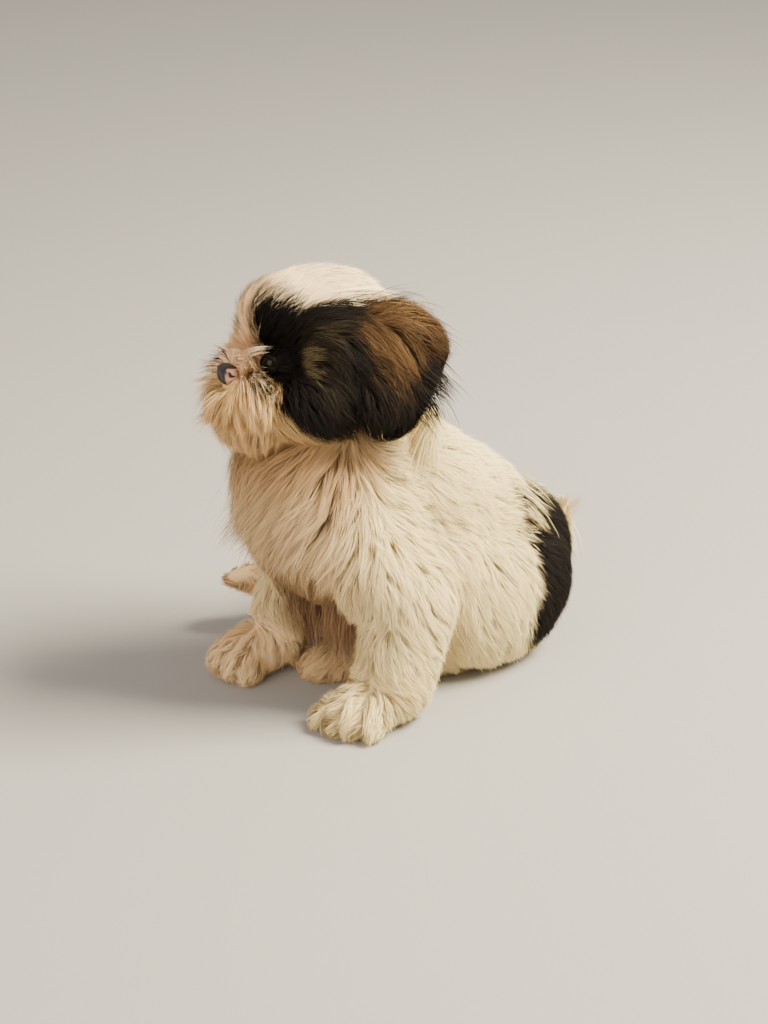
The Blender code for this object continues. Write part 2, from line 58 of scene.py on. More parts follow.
camera.matrix_world = Matrix(
    [(view_right[i], view_up[i], -view_way[i], EYE_POINT[i]) for i in range(3)] + [(0, 0, 0, 1)]
)
camera.data.sensor_fit = "VERTICAL"
camera.data.sensor_height = FILM_HEIGHT
camera.data.lens = LENS
bpy.context.scene.camera = camera

# Floor and light: a pale matt sweep of card, under a large soft lamp overhead and to the right,
# with a weaker one from the left, and an even glow all round.
FLOOR_COLOUR = (0.34, 0.33, 0.315)
FLOOR_REACH = 4.0


def new_object(name, mesh):
    """An object that shows the mesh in the scene."""
    made = bpy.data.objects.new(name, mesh)
    bpy.context.scene.collection.objects.link(made)
    return made


def new_material(name, roughness):
    """A new material of that roughness, with its nodes and its shader."""
    made = bpy.data.materials.new(name)
    made.use_nodes = True
    shader = made.node_tree.nodes["Principled BSDF"]
    shader.inputs["Roughness"].default_value = roughness
    return made, made.node_tree, shader


def solid_texture(tree, kind, scale):
    """A texture of that kind, which fills the object's own space."""
    place = tree.nodes.new("ShaderNodeTexCoord")
    texture = tree.nodes.new(kind)
    texture.inputs["Scale"].default_value = scale
    tree.links.new(place.outputs["Object"], texture.inputs["Vector"])
    return texture


def mottle(tree, shader, noise, colour, change):
    """Lets a noise make the colour lighter and darker by that share."""
    ramp = tree.nodes.new("ShaderNodeValToRGB")
    for element, brightness in zip(ramp.color_ramp.elements, (1 - change, 1 + change)):
        element.color = (*[brightness * part for part in colour], 1)
    tree.links.new(noise.outputs["Fac"], ramp.inputs["Fac"])
    tree.links.new(ramp.outputs["Color"], shader.inputs["Base Color"])


floor_mesh = bpy.data.meshes.new("floor")
floor_corners = [(FLOOR_REACH * x, FLOOR_REACH * y, 0) for x, y in ((-1, -1), (1, -1), (1, 1), (-1, 1))]
floor_mesh.from_pydata(floor_corners, [], [(0, 1, 2, 3)])
floor = new_object("floor", floor_mesh)
card, card_tree, card_shader = new_material("pale_card", 0.9)
mottle(card_tree, card_shader, solid_texture(card_tree, "ShaderNodeTexNoise", 9.0), FLOOR_COLOUR, 0.015)
floor_mesh.materials.append(card)

world = bpy.data.worlds.new("studio")
bpy.context.scene.world = world
world.use_nodes = True
world.node_tree.nodes["Background"].inputs["Color"].default_value = (1.0, 0.96, 0.90, 1)
world.node_tree.nodes["Background"].inputs["Strength"].default_value = 0.62


def soft_lamp(name, place, target, size, power, colour):
    """A square lamp that faces the target."""
    lamp = bpy.data.lights.new(name, "AREA")
    lamp.size = size
    lamp.energy = power
    lamp.color = colour
    holder = new_object(name, lamp)
    holder.location = place
    way = Vector(target) - Vector(place)
    holder.rotation_euler = way.to_track_quat("-Z", "Y").to_euler()


soft_lamp("lamp_above", (0.60, -0.55, 1.15), (0, 0, 0.08), 0.6, 92.0, (1.0, 0.88, 0.68))
soft_lamp("lamp_left", (-1.2, -0.3, 0.7), (0, 0, 0.1), 0.9, 14.0, (1.0, 0.84, 0.70))

# Skin: one soft hide from nose to tail, over a small round body. It is given as ellipsoids and
# tapered limbs, each with its size under the coat and the coat's depth, and fused smooth.
HEAD_PLACE = Matrix.Translation((-5.2, 0.4, 17.4)) @ Euler(
    (math.radians(-8), 0, math.radians(-8))
).to_matrix().to_4x4()
EYE_CENTRE = (-2.9, 1.62, 0.55)
EYE_RADIUS = 0.62
EYE_TURN = math.radians(25.0)
EYE_TILT = math.radians(4)
NOSE_CENTRE = (-4.5, 0.1, -0.1)
SKIN_VOXEL = 0.17
COAT_VOXEL = 0.32


def blob(centre, radii, coat, pitch=0.0, yaw=0.0):
    """One ellipsoid of the body: its place, its radii under the coat, and the coat's depth."""
    coat = (coat, coat, coat) if isinstance(coat, (int, float)) else coat
    turn = Euler((0, math.radians(pitch), math.radians(yaw))).to_matrix().to_4x4()
    return {"place": Matrix.Translation(centre) @ turn, "radii": radii, "coat": coat}


def limb(*joints):
    """A limb as joints in a row, each a centre, a radius under the coat, and the coat's depth."""
    return [blob(centre, (radius,) * 3, coat) for centre, radius, coat in joints]


def on_head(shape):
    """A shape given in the head's own space, brought to the body's."""
    return {**shape, "place": HEAD_PLACE @ shape["place"]}


def mirrored(shape):
    """The same shape on the other side of the middle plane."""
    flip = Matrix.Diagonal((1, -1, 1, 1))
    return {**shape, "place": flip @ shape["place"] @ flip}


HEAD = [
    blob((0.1, 0.0, 0.45), (3.35, 3.35, 3.3), 0.6),
    blob((-1.2, 0.0, 1.6), (2.0, 2.4, 2.1), 0.5),
    blob((-1.9, 0.0, 2.45), (1.3, 1.7, 1.2), 0.5),
    blob((-2.6, -1.52, 0.5), (0.82, 0.85, 0.82), 0.25),
    blob((-2.6, 1.52, 0.5), (0.82, 0.85, 0.82), 0.25),
    blob((-1.2, -1.9, -1.3), (1.9, 1.5, 1.7), 0.6),
    blob((-1.2, 1.9, -1.3), (1.9, 1.5, 1.7), 0.6),
    blob((-3.2, 0.1, -1.2), (1.7, 1.9, 1.15), (0.8, 1.25, 0.5)),
    blob((-3.2, 0.1, -2.3), (1.5, 1.5, 0.9), (0.9, 0.9, 0.8)),
    blob((-3.55, 0.1, -0.3), (1.0, 0.95, 0.8), (0.5, 0.5, 0.35)),
    blob((-3.6, 1.0, -0.45), (0.95, 0.8, 0.8), (0.6, 0.6, 0.5)),
    blob((-3.5, -0.95, -0.8), (0.9, 0.8, 0.7), (0.5, 0.5, 0.35)),
]
EAR = [
    blob((2.2, -2.75, 1.8), (1.5, 0.5, 0.75), (0.5, 0.4, 0.5)),
    blob((2.6, -3.45, 0.5), (2.1, 0.4, 1.5), (0.5, 0.5, 0.6)),
    blob((1.5, -3.75, -1.6), (1.6, 0.4, 1.5), (0.5, 0.5, 0.5)),
]
TRUNK = [
    blob((-4.4, 0.2, 9.0), (3.5, 3.5, 4.4), (1.6, 1.2, 1.1), pitch=-10),
    blob((-5.0, 0.7, 11.6), (3.2, 3.4, 2.4), 1.2),
    blob((-0.6, 0.2, 6.3), (4.5, 3.9, 4.2), 1.0, pitch=30),
    blob((-0.3, 0.3, 9.6), (4.1, 3.3, 2.9), (0.7, 0.9, 0.6), pitch=32),
    blob((2.7, 0.2, 7.45), (2.6, 3.2, 2.6), 0.9),
    blob((-0.6, 0.4, 3.0), (4.1, 3.4, 2.3), 0.6),
    blob((4.5, 0.2, 4.45), (4.1, 3.8, 3.6), 0.65),
    blob((-4.3, 0.3, 13.0), (2.8, 3.0, 2.6), 0.75),
]
FORELEG_LEFT = limb(
    ((-4.0, -2.8, 7.2), 1.8, 0.7), ((-2.8, -3.7, 5.6), 1.7, 0.7), ((-4.2, -4.1, 2.0), 1.45, 0.75)
)
FOREPAW_LEFT = limb(((-4.0, -4.2, 1.4), 1.25, 0.5), ((-6.4, -4.0, 0.95), 1.1, 0.4))
FORELEG_RIGHT = limb(
    ((-5.2, 2.6, 7.2), 1.6, 0.7), ((-4.2, 3.4, 5.6), 1.5, 0.6), ((-5.5, 3.6, 2.0), 1.2, 0.65)
)
FOREPAW_RIGHT = limb(((-5.6, 3.5, 1.35), 1.15, 0.5), ((-7.6, 3.7, 1.0), 1.05, 0.5))
THIGH_LEFT = blob((3.1, -2.9, 3.9), (3.9, 1.8, 3.5), 0.6)
HINDFOOT_LEFT = limb(((0.4, -2.0, 1.1), 1.0, 0.4), ((-4.5, 0.8, 0.9), 0.8, 0.35))
THIGH_RIGHT = blob((2.3, 3.5, 4.0), (3.9, 1.9, 3.5), 0.6, yaw=-12)
HINDFOOT_RIGHT = limb(((-0.4, 5.2, 1.5), 1.05, 0.4), ((-4.9, 7.4, 2.85), 0.6, 0.3))
TAIL = limb(((7.6, 0.4, 2.2), 0.8, 0.5), ((9.2, 0.5, 3.2), 0.6, 0.5), ((9.8, 0.5, 5.0), 0.35, 0.4))

# Each group of flesh: its single ellipsoids, and its limbs of joined ones.
FLESH = {
    "head": ([on_head(shape) for shape in HEAD], []),
    "ear_left": ([], [[on_head(shape) for shape in EAR]]),
    "ear_right": ([], [[on_head(mirrored(shape)) for shape in EAR]]),
    "trunk": (TRUNK, []),
    "foreleg_left": ([], [FORELEG_LEFT, FOREPAW_LEFT]),
    "foreleg_right": ([], [FORELEG_RIGHT, FOREPAW_RIGHT]),
    "hindleg_left": ([THIGH_LEFT], [HINDFOOT_LEFT]),
    "hindleg_right": ([THIGH_RIGHT], [HINDFOOT_RIGHT]),
    "tail": ([], [TAIL]),
}
TOE_RADII = (0.75, 0.36, 0.50)
TOE_ROW = (-1.5, -0.5, 0.5, 1.5)
TOE_REACH = 0.35
TOE_ARCH = 0.14
TOE_FAN = 8
TOE_SPREAD = 0.14
# Each paw: where its toes start, which way they point, how far apart they are, and their size.
PAWS = {
    "foreleg_left": ((-6.6, -3.95, 0.62), 209, 0.82, 1.1),
    "foreleg_right": ((-8.0, 3.6, 0.62), 189, 0.70, 1.0),
    "hindleg_left": ((-4.75, 1.0, 0.55), 160, 0.42, 0.85),
    "hindleg_right": ((-5.3, 7.55, 2.9), 153, 0.26, 0.6),
}


def finished_mesh(bm, smooth=True):
    """The mesh that has been put together, shaded smooth or flat."""
    for face in bm.faces:
        face.smooth = smooth
    mesh = bpy.data.meshes.new("piece")
    bm.to_mesh(mesh)
    bm.free()
    return mesh


def evaluated_mesh(obj):
    """The object's mesh once its modifiers have worked, in place of the object."""
    bpy.context.view_layer.update()
    graph = bpy.context.evaluated_depsgraph_get()
    mesh = bpy.data.meshes.new_from_object(obj.evaluated_get(graph))
    bpy.data.objects.remove(obj)
    return mesh


def add_ellipsoid(bm, shape, share, rings=16):
    """Adds one ellipsoid, swollen by that share of the coat's depth."""
    radii = [r + share * c for r, c in zip(shape["radii"], shape["coat"])]
    place = shape["place"] @ Matrix.Diagonal((*radii, 1.0))
    bmesh.ops.create_uvsphere(bm, u_segments=2 * rings, v_segments=rings, radius=1.0, matrix=place)


def add_limb(bm, joints, share):
    """Adds a limb: a tight wrap round each two joints that follow each other."""
    for first, second in zip(joints, joints[1:]):
        before = set(bm.verts)
        add_ellipsoid(bm, first, share, rings=12)
        add_ellipsoid(bm, second, share, rings=12)
        added = [v for v in bm.verts if v not in before]
        hull = bmesh.ops.convex_hull(bm, input=added)
        inside = list(set(hull["geom_interior"] + hull["geom_unused"]))
        bmesh.ops.delete(bm, geom=inside, context="VERTS")


def fused_flesh(share, voxel, smoothing):
    """All the flesh as one smooth closed mesh, at that share of the coat's depth."""
    bm = bmesh.new()
    for singles, limbs in FLESH.values():
        for shape in singles:
            add_ellipsoid(bm, shape, share)
        for joints in limbs:
            add_limb(bm, joints, share)
    for centre, yaw, spread, size in PAWS.values():
        turn = Matrix.Rotation(math.radians(yaw), 4, "Z")
        for toe in TOE_ROW:
            offset = turn @ Vector((TOE_REACH - TOE_ARCH * toe * toe, spread * toe, 0))
            radii = [size * radius for radius in TOE_RADII]
            toe_shape = blob(Vector(centre) + offset, radii, 0.5 * size, yaw=yaw + TOE_FAN * toe)
            add_ellipsoid(bm, toe_shape, share, rings=10)
    obj = new_object("flesh", finished_mesh(bm, smooth=False))
    remesh = obj.modifiers.new("fuse", "REMESH")
    remesh.mode = "VOXEL"
    remesh.voxel_size = voxel
    smooth = obj.modifiers.new("smooth", "SMOOTH")
    smooth.factor = 0.5
    smooth.iterations = smoothing
    return evaluated_mesh(obj)


def surface_tree(mesh):
    """The mesh's surface, ready to be searched for its nearest place."""
    corners = [vertex.co.copy() for vertex in mesh.vertices]
    return BVHTree.FromPolygons(corners, [face.vertices[:] for face in mesh.polygons])


def eye_parts(sign):
    """Where one eye lies in the head, and which way it looks."""
    centre = Vector((EYE_CENTRE[0], sign * EYE_CENTRE[1], EYE_CENTRE[2]))
    turn = Matrix.Rotation(-sign * EYE_TURN, 4, "Z") @ Matrix.Rotation(EYE_TILT, 4, "Y")
    return centre, turn


# The skin sinks round each eye, so that the ball stands in a socket, and it ends above the floor.
SOCKET_REACH = 1.25
SOCKET_DEPTH = 0.82
SOCKET_SLOPE = 0.2
BROW_SLOPE = 0.25
BROW_START = 0.8
LOWEST_SKIN = 0.04
skin_mesh = fused_flesh(0.0, SKIN_VOXEL, 12)
coat_tree = surface_tree(fused_flesh(1.0, COAT_VOXEL, 5))
skin_bm = bmesh.new()
skin_bm.from_mesh(skin_mesh)
for sign in (-1, 1):
    centre, turn = eye_parts(sign)
    middle = HEAD_PLACE @ centre
    front = HEAD_PLACE.to_3x3() @ (turn @ Vector((-1, 0, 0)))
    for vertex in skin_bm.verts:
        away = vertex.co - middle
        if away.length < EYE_RADIUS * SOCKET_REACH and away.dot(front) > 0:
            off_axis = (away - away.dot(front) * front).length / EYE_RADIUS
            sunk = SOCKET_DEPTH * EYE_RADIUS + SOCKET_SLOPE * EYE_RADIUS * min(1.0, off_axis) ** 2
            sunk += BROW_SLOPE * max(0.0, off_axis - BROW_START)
            vertex.co = middle + away.normalized() * min(away.length, sunk)
for vertex in skin_bm.verts:
    vertex.co.z = max(vertex.co.z, LOWEST_SKIN)
skin_bm.to_mesh(skin_mesh)
skin_bm.free()
skin_mesh.polygons.foreach_set("use_smooth", [True] * len(skin_mesh.polygons))
skin_tree = surface_tree(skin_mesh)
skin = new_object("skin", skin_mesh)

bpy.context.view_layer.objects.active = skin
skin.select_set(True)
bpy.ops.object.mode_set(mode="EDIT")
bpy.ops.mesh.select_all(action="SELECT")
bpy.ops.uv.smart_project(angle_limit=math.radians(66), island_margin=0.004)
bpy.ops.object.mode_set(mode="OBJECT")
skin_mesh.uv_layers[0].name = "OFBake"


def smooth_step(value, low, high):
    """0 below the low value, 1 above the high one, and an even curve between."""
    share = np.clip((value - low) / (high - low), 0.0, 1.0)
    return share * share * (3 - 2 * share)


def distance_to(shape, points):
    """About how far points lie outside an ellipsoid."""
    inverse = np.array(shape["place"].inverted())
    local = points @ inverse[:3, :3].T + inverse[:3, 3]
    radii = np.array(shape["radii"])
    return (np.linalg.norm(local / radii, axis=1) - 1) * radii.min()


def distance_to_limb(joints, points):
    """How far points lie outside a limb that tapers from joint to joint."""
    least = np.full(len(points), 99.0)
    for first, second in zip(joints, joints[1:]):
        start = np.array(first["place"].translation)
        along = np.array(second["place"].translation) - start
        share = np.clip((points - start) @ along / (along @ along), 0, 1)
        radius = first["radii"][1] + share * (second["radii"][1] - first["radii"][1])
        reach = np.linalg.norm(points - start - share[:, None] * along, axis=1) - radius
        least = np.minimum(least, reach)
    return least


BLEND_REACH = 0.28


def membership(points):
    """How much each point belongs to each group of flesh, as shares that add up to one."""
    distances = np.empty((len(points), len(FLESH)))
    for column, (singles, limbs) in enumerate(FLESH.values()):
        found = [distance_to(shape, points) for shape in singles]
        found += [distance_to_limb(joints, points) for joints in limbs]
        distances[:, column] = np.min(found, axis=0)
    nearest = distances.min(axis=1, keepdims=True)
    shares = np.exp(-(distances - nearest) / BLEND_REACH)
    return dict(zip(FLESH, (shares / shares.sum(axis=1, keepdims=True)).T))


head_inverse = np.array(HEAD_PLACE.inverted())
head_turn = np.array(HEAD_PLACE.to_3x3())


def in_head(points):
    """Points of the body in the head's own space."""
    return points @ head_inverse[:3, :3].T + head_inverse[:3, 3]


# The coat's colours. Some of them carry painted shade as well, as said where they are used.
WHITE = np.array((0.87, 0.74, 0.40))
CROWN_WHITE = np.array((0.96, 0.80, 0.53))
FOREHEAD = np.array((0.92, 0.70, 0.43))
BRIDGE = np.array((0.92, 0.66, 0.41))
# Rosy beige of the chest and the front of the legs, deepened with painted shade.
ROSY_SHADE = np.array((0.50, 0.335, 0.185))
GOLD = np.array((0.70, 0.48, 0.22))
TAN = np.array((0.52, 0.33, 0.16))
PAW_CREAM = np.array((0.87, 0.72, 0.37))
FAR_PAW = np.array((0.94, 0.71, 0.40))
HIND_FOOT = TAN + 0.5 * (FAR_PAW - TAN)
SHADE_BROWN = np.array((0.22, 0.13, 0.07))
BLACK = np.array((0.009, 0.007, 0.006))
SABLE = np.array((0.017, 0.012, 0.007))
# Grey-brown sheen on black hair: a painted highlight.
PAINTED_SHEEN = np.array((0.13, 0.10, 0.052))
RUST = np.array((0.046, 0.025, 0.011))
AMBER = np.array((0.160, 0.088, 0.034))


def wander(points, size, seed):
    """A smooth, uneven number from about -1 to 1 at each point, the sum of six waves."""
    random = np.random.default_rng(seed)
    total = np.zeros(len(points))
    for _ in range(6):
        way = random.normal(size=3)
        way /= np.linalg.norm(way)
        length = size * random.uniform(0.6, 1.6)
        total += np.sin(points @ way * 2 * np.pi / length + random.uniform(0, 6.3))
    return total / 2.5


def mixed(first, second, share):
    """The first values where the share is 0, the second where it is 1."""
    return first * (1 - share[:, None]) + second * share[:, None]


def spot(local, centre, radii):
    """1 inside a soft-edged ellipsoid of the head, falling to 0 outside it."""
    reach = np.linalg.norm((local - np.array(centre)) / np.array(radii), axis=1)
    return 1 - smooth_step(reach, 0.7, 1.25)


# The black mask's edges: how far out it starts at each height, how far out at each place along
# the crown, and how low it reaches at each place from front to back.
MASK_INNER_EDGE = (
    (-3.6, 2.2), (-2.1, 2.45), (-0.8, 2.45), (0.0, 1.5), (1.07, 0.88), (1.94, 0.62), (3.4, 0.20)
)
MASK_CROWN_EDGE = (
    (-2.9, 0.20), (-2.2, 0.7), (-1.8, 2.2), (-0.7, 2.5), (0.3, 2.6), (1.7, 1.9), (2.6, 1.9)
)
MASK_LOW_EDGE = ((-3.7, -0.7), (-3.2, -1.7), (-2.6, -2.5), (-1.65, -3.1), (0.0, -3.5), (2.5, -3.0))


def face_colour(local, uneven, fine):
    """The head: a white blaze and crown, a golden muzzle, and a black mask from eye to ear."""
    x, y, z = local.T
    both = np.stack([x, -np.abs(y), z], axis=1)
    face = np.tile(CROWN_WHITE, (len(local), 1))
    face = mixed(face, FOREHEAD, smooth_step(-x + 0.3 * uneven, 1.4, 2.8))
    face = mixed(face, BRIDGE, smooth_step(-x, 2.8, 3.8) * smooth_step(-z, -2.2, -1.0))
    face = mixed(face, GOLD, smooth_step(-z + 0.2 * uneven, -0.5, 0.7))
    # Under the jaw the hair is tan, partly painted shade.
    face = mixed(face, TAN, 0.85 * smooth_step(-z - 0.25 * x + 0.2 * uneven, 2.6, 3.9))
    side = np.abs(y) + 0.10 * uneven + 0.05 * fine
    inner = np.interp(z, *zip(*MASK_INNER_EDGE))
    inner = np.maximum(inner, np.interp(x, *zip(*MASK_CROWN_EDGE)) * smooth_step(z, 2.2, 2.9))
    low_edge = np.interp(x, *zip(*MASK_LOW_EDGE))
    mask = smooth_step(side - inner, -0.10, 0.10)
    mask *= smooth_step(-x + 1.4 * smooth_step(side, 2.0, 2.6), -3.2, -2.4)
    above = smooth_step(z - low_edge + 0.12 * uneven, -0.2, 0.2)
    mask *= above * smooth_step(-z + 0.12 * uneven, -3.65, -3.4)
    inner_brow = spot(both, (-3.5, -1.2, 1.05), (0.36, 0.42, 0.34))
    cheek = spot(both, (-3.2, -2.25, -0.5), (0.4, 0.4, 0.34))
    mask *= 1 - smooth_step(inner_brow + cheek, 0.2, 0.9)
    dark = np.tile(BLACK, (len(local), 1))
    dark = mixed(dark, SABLE, 0.8 * spot(both, (-1.3, -3.0, 1.0), (0.95, 1.4, 1.6)))
    # Painted sheen: grey-brown streaks of light on the black cheek.
    dark = mixed(dark, PAINTED_SHEEN, 0.95 * spot(both, (-1.9, -2.95, 0.7), (0.24, 0.9, 0.75)))
    dark = mixed(dark, PAINTED_SHEEN, 0.25 * spot(both, (-0.9, -2.9, 1.9), (0.35, 0.9, 0.4)))
    dark = mixed(dark, AMBER, 0.6 * spot(both, (1.2, -3.6, 1.6), (0.8, 1.2, 0.9)))
    dark = mixed(dark, SABLE, 0.7 * spot(both, (-0.9, -3.2, -1.2), (0.8, 1.2, 0.8)))
    return mixed(face, dark, mask)


def ear_colour(local, uneven, fine):
    """An ear: brown streaks fan out over its top and back, and it is black below and in front."""
    x, y, z = local.T
    warm = smooth_step(z - 0.1 * (x - 1.5) + 0.5 * uneven + 0.2 * fine, -0.7, 1.0)
    warm *= smooth_step(x + 0.2 * z + 0.1 * fine, -0.5, 0.4)
    angle = np.arctan2(z - 2.0, x - 1.3)
    streak = 0.5 + 0.5 * np.sin(9 * angle + 2.0 * uneven) * np.cos(4 * angle + 1.5 * fine)
    brown = mixed(np.tile(RUST, (len(local), 1)), AMBER, streak * smooth_step(x, 0.6, 2.2))
    ear = mixed(np.tile(BLACK, (len(local), 1)), SABLE, 0.5 * smooth_step(fine, 0.2, 1.2))
    return mixed(ear, brown, warm)


def belly_share(points):
    """1 on the belly between the forelegs, where the coat is short and brown, darkened with painted
    shade, falling to 0.
    """
    x, y, z = points.T
    low = smooth_step(-z + 0.3 * wander(points, 1.2, 8), -8.8, -7.3)
    return low * smooth_step(-x, 0.5, 2.5) * smooth_step(-np.abs(y - 0.2), -3.2, -2.2)


def toe_place(points, name):
    """How far points lie along a paw's toes, and across them in widths of a toe."""
    centre, yaw, spacing, _ = PAWS[name]
    away = points[:, :2] - np.array(centre[:2])
    turn = math.radians(yaw)
    along = away @ np.array((math.cos(turn), math.sin(turn)))
    across = away @ np.array((-math.sin(turn), math.cos(turn))) / (spacing * (1 + TOE_SPREAD * along))
    return along, across


def toe_gap(points):
    """1 in the gaps between the toes of the forepaws, falling to 0 on the toes."""
    gap = np.zeros(len(points))
    for name in ("foreleg_left", "foreleg_right"):
        along, across = toe_place(points, name)
        between = smooth_step(0.5 + 0.5 * np.cos(2 * np.pi * across), 0.70, 0.95)
        gap += between * smooth_step(along, -0.9, 0.0) * (np.abs(across) < 1.3) * (points[:, 2] < 2.0)
    return gap


def coat_colour(points):
    """The colour that the coat has at each point of the body."""
    shares = membership(points)
    x, y, z = points.T
    uneven = wander(points, 1.8, 3)
    fine = wander(points, 0.5, 4)
    ears = shares["ear_left"] + shares["ear_right"]
    head = smooth_step(shares["head"] + ears, 0.35, 0.65)
    ears = smooth_step(ears, 0.2, 0.4)
    fore = shares["foreleg_left"] + shares["foreleg_right"]
    hind = shares["hindleg_left"] + shares["hindleg_right"]

    # The body: white, with a rosy chest, a brown belly and a tan throat. The rosy chest is partly
    # painted shade, deepest on the front, which faces away from the lamps; the brown belly and the tan
    # throat are partly painted shade as well.
    colour = np.tile(WHITE, (len(points), 1))
    # Painted shade: the front of the chest, facing away from the light, is made rosier and darker.
    front = smooth_step(-x - 0.55 * np.abs(y + 0.2) + 0.5 * uneven, 2.4, 5.6) * smooth_step(z, 4.0, 7.0)
    colour = mixed(colour, ROSY_SHADE, 0.8 * front)
    # The belly between the forelegs: brown, partly painted shade.
    belly = belly_share(points) * (1 - shares["hindleg_right"])
    colour = mixed(colour, SHADE_BROWN, 0.85 * belly)
    # The throat under the chin: tan, partly painted shade where the head shades it.
    throat = smooth_step(-x - 0.4 * np.abs(y), 1.0, 3.6) * smooth_step(z + 0.4 * uneven, 11.4, 13.2)
    colour = mixed(colour, TAN, 0.9 * throat * (1 - head))

    # The legs: white and a little rosy in front, the rosy front partly painted shade, with cream paws
    # and tan hind feet. Between the forelegs and between the toes the hair is darkened brown with
    # painted shade.
    leg = mixed(np.tile(WHITE, (len(points), 1)), ROSY_SHADE, 0.35 * smooth_step(-x + 0.4 * uneven, 4.4, 6.0))
    paw = mixed(PAW_CREAM[None], FAR_PAW, shares["foreleg_right"])
    leg = mixed(leg, paw, smooth_step(-z, -3.6, -2.2))
    colour = mixed(colour, leg, fore)
    foot = smooth_step(-x, -0.5, 1.5) * smooth_step(-z, -4.4, -3.4)
    colour = mixed(colour, HIND_FOOT, hind * foot)
    # Painted shade on the inner sides of the forelegs, where they face each other.
    inside = smooth_step(-np.abs(y - 0.1), -3.0, -1.8) * smooth_step(-x, 2.5, 4.5)
    inside *= smooth_step(-z + 0.3 * uneven, -7.9, -7.0) * smooth_step(z, 2.0, 3.5)
    colour = mixed(colour, SHADE_BROWN, 0.7 * inside)
    # Painted shade in the gaps between the toes.
    colour = mixed(colour, SHADE_BROWN, 0.75 * fore * toe_gap(points))

    local = in_head(points)
    colour = mixed(colour, face_colour(local, uneven, fine), head)
    colour = mixed(colour, ear_colour(local, uneven, fine), ears)

    # The rump: a black saddle, under the white tail and on both sides of it.
    edge = 3.45 + 0.13 * (z - 5.8) + 0.02 * y * y
    rump = smooth_step(x - edge + 0.22 * uneven + 0.10 * fine, -0.12, 0.15)
    rump *= smooth_step(z, 0.5, 1.2) * smooth_step(-z - 0.55 * (x - 6.0) + 0.15 * fine, -8.7, -8.0)
    colour = mixed(colour, BLACK, rump * (1 - shares["tail"]))
    return np.clip(colour, 0.004, 1.0)


def vertex_array(mesh):
    """Where the mesh's vertices are, as rows of three numbers."""
    found = np.empty(len(mesh.vertices) * 3, np.float32)
    mesh.vertices.foreach_get("co", found)
    return found.reshape(-1, 3).astype(float)


def tone_group():
    """How the colour of hair changes from root to tip, darker at the root as painted shade deep in the
    coat, and from hair to hair.
    """
    group = bpy.data.node_groups.new("hair_tone", "ShaderNodeTree")
    group.interface.new_socket("Colour", in_out="INPUT", socket_type="NodeSocketColor")
    group.interface.new_socket("Along", in_out="INPUT", socket_type="NodeSocketFloat")
    group.interface.new_socket("Chance", in_out="INPUT", socket_type="NodeSocketFloat")
    group.interface.new_socket("Colour", in_out="OUTPUT", socket_type="NodeSocketColor")
    taken = group.nodes.new("NodeGroupInput")
    given = group.nodes.new("NodeGroupOutput")
    # Painted shade: darker at the root, deep in the coat, and a little lighter at the tip.
    root_shade = group.nodes.new("ShaderNodeMapRange")
    root_shade.inputs["To Min"].default_value = 0.88
    root_shade.inputs["To Max"].default_value = 1.06
    vary = group.nodes.new("ShaderNodeMapRange")
    vary.inputs["To Min"].default_value = 0.86
    vary.inputs["To Max"].default_value = 1.12
    both = group.nodes.new("ShaderNodeMath")
    both.operation = "MULTIPLY"
    scale = group.nodes.new("ShaderNodeVectorMath")
    scale.operation = "SCALE"
    group.links.new(taken.outputs["Along"], root_shade.inputs["Value"])
    group.links.new(taken.outputs["Chance"], vary.inputs["Value"])
    group.links.new(root_shade.outputs["Result"], both.inputs[0])
    group.links.new(vary.outputs["Result"], both.inputs[1])
    group.links.new(taken.outputs["Colour"], scale.inputs["Vector"])
    group.links.new(both.outputs["Value"], scale.inputs["Scale"])
    group.links.new(scale.outputs["Vector"], given.inputs["Colour"])
    return group


hair_tone = tone_group()


def painted(tree, name):
    """A node that reads what the mesh's vertices hold under that name."""
    reader = tree.nodes.new("ShaderNodeAttribute")
    reader.attribute_name = name
    return reader


def raise_grain(tree, shader, height, strength, distance):
    """Lets a texture raise a fine grain on the surface, by up to that distance in metres."""
    bump = tree.nodes.new("ShaderNodeBump")
    bump.inputs["Strength"].default_value = strength
    bump.inputs["Distance"].default_value = distance
    tree.links.new(height, bump.inputs["Height"])
    tree.links.new(bump.outputs["Normal"], shader.inputs["Normal"])


def hide_material():
    """Thin pink hide that shows a little of the hair's own colour at its roots."""
    made, tree, shader = new_material("hide", 0.75)
    shader.inputs["Specular IOR Level"].default_value = 0.25
    colour = painted(tree, "coat_colour")
    tone = tree.nodes.new("ShaderNodeGroup")
    tone.node_tree = hair_tone
    # The hide takes the painted shade of the hair's roots.
    tone.inputs["Along"].default_value = 0.3
    pores = solid_texture(tree, "ShaderNodeTexNoise", 900.0)
    tree.links.new(pores.outputs["Fac"], tone.inputs["Chance"])
    tree.links.new(colour.outputs["Color"], tone.inputs["Colour"])
    tree.links.new(tone.outputs["Colour"], shader.inputs["Base Color"])
    raise_grain(tree, shader, pores.outputs["Fac"], 0.4, 0.0006)
    return made


def set_colours(mesh, name, colours):
    """Gives each of the mesh's vertices its colour, under that name."""
    layer = mesh.color_attributes.new(name, "FLOAT_COLOR", "POINT")
    full = np.ones((len(colours), 4), np.float32)
    full[:, :3] = colours
    layer.data.foreach_set("color", full.ravel())


TO_MODEL = Matrix.Scale(CM, 4) @ Matrix.Translation((*MODEL_SHIFT, 0))


def finished(obj, slot, *nodes):
    """Brings a piece to the model's frame and scale, and lets it ride on the body."""
    obj.data.transform(TO_MODEL)
    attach(obj, "root")
    if nodes:
        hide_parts(*nodes)


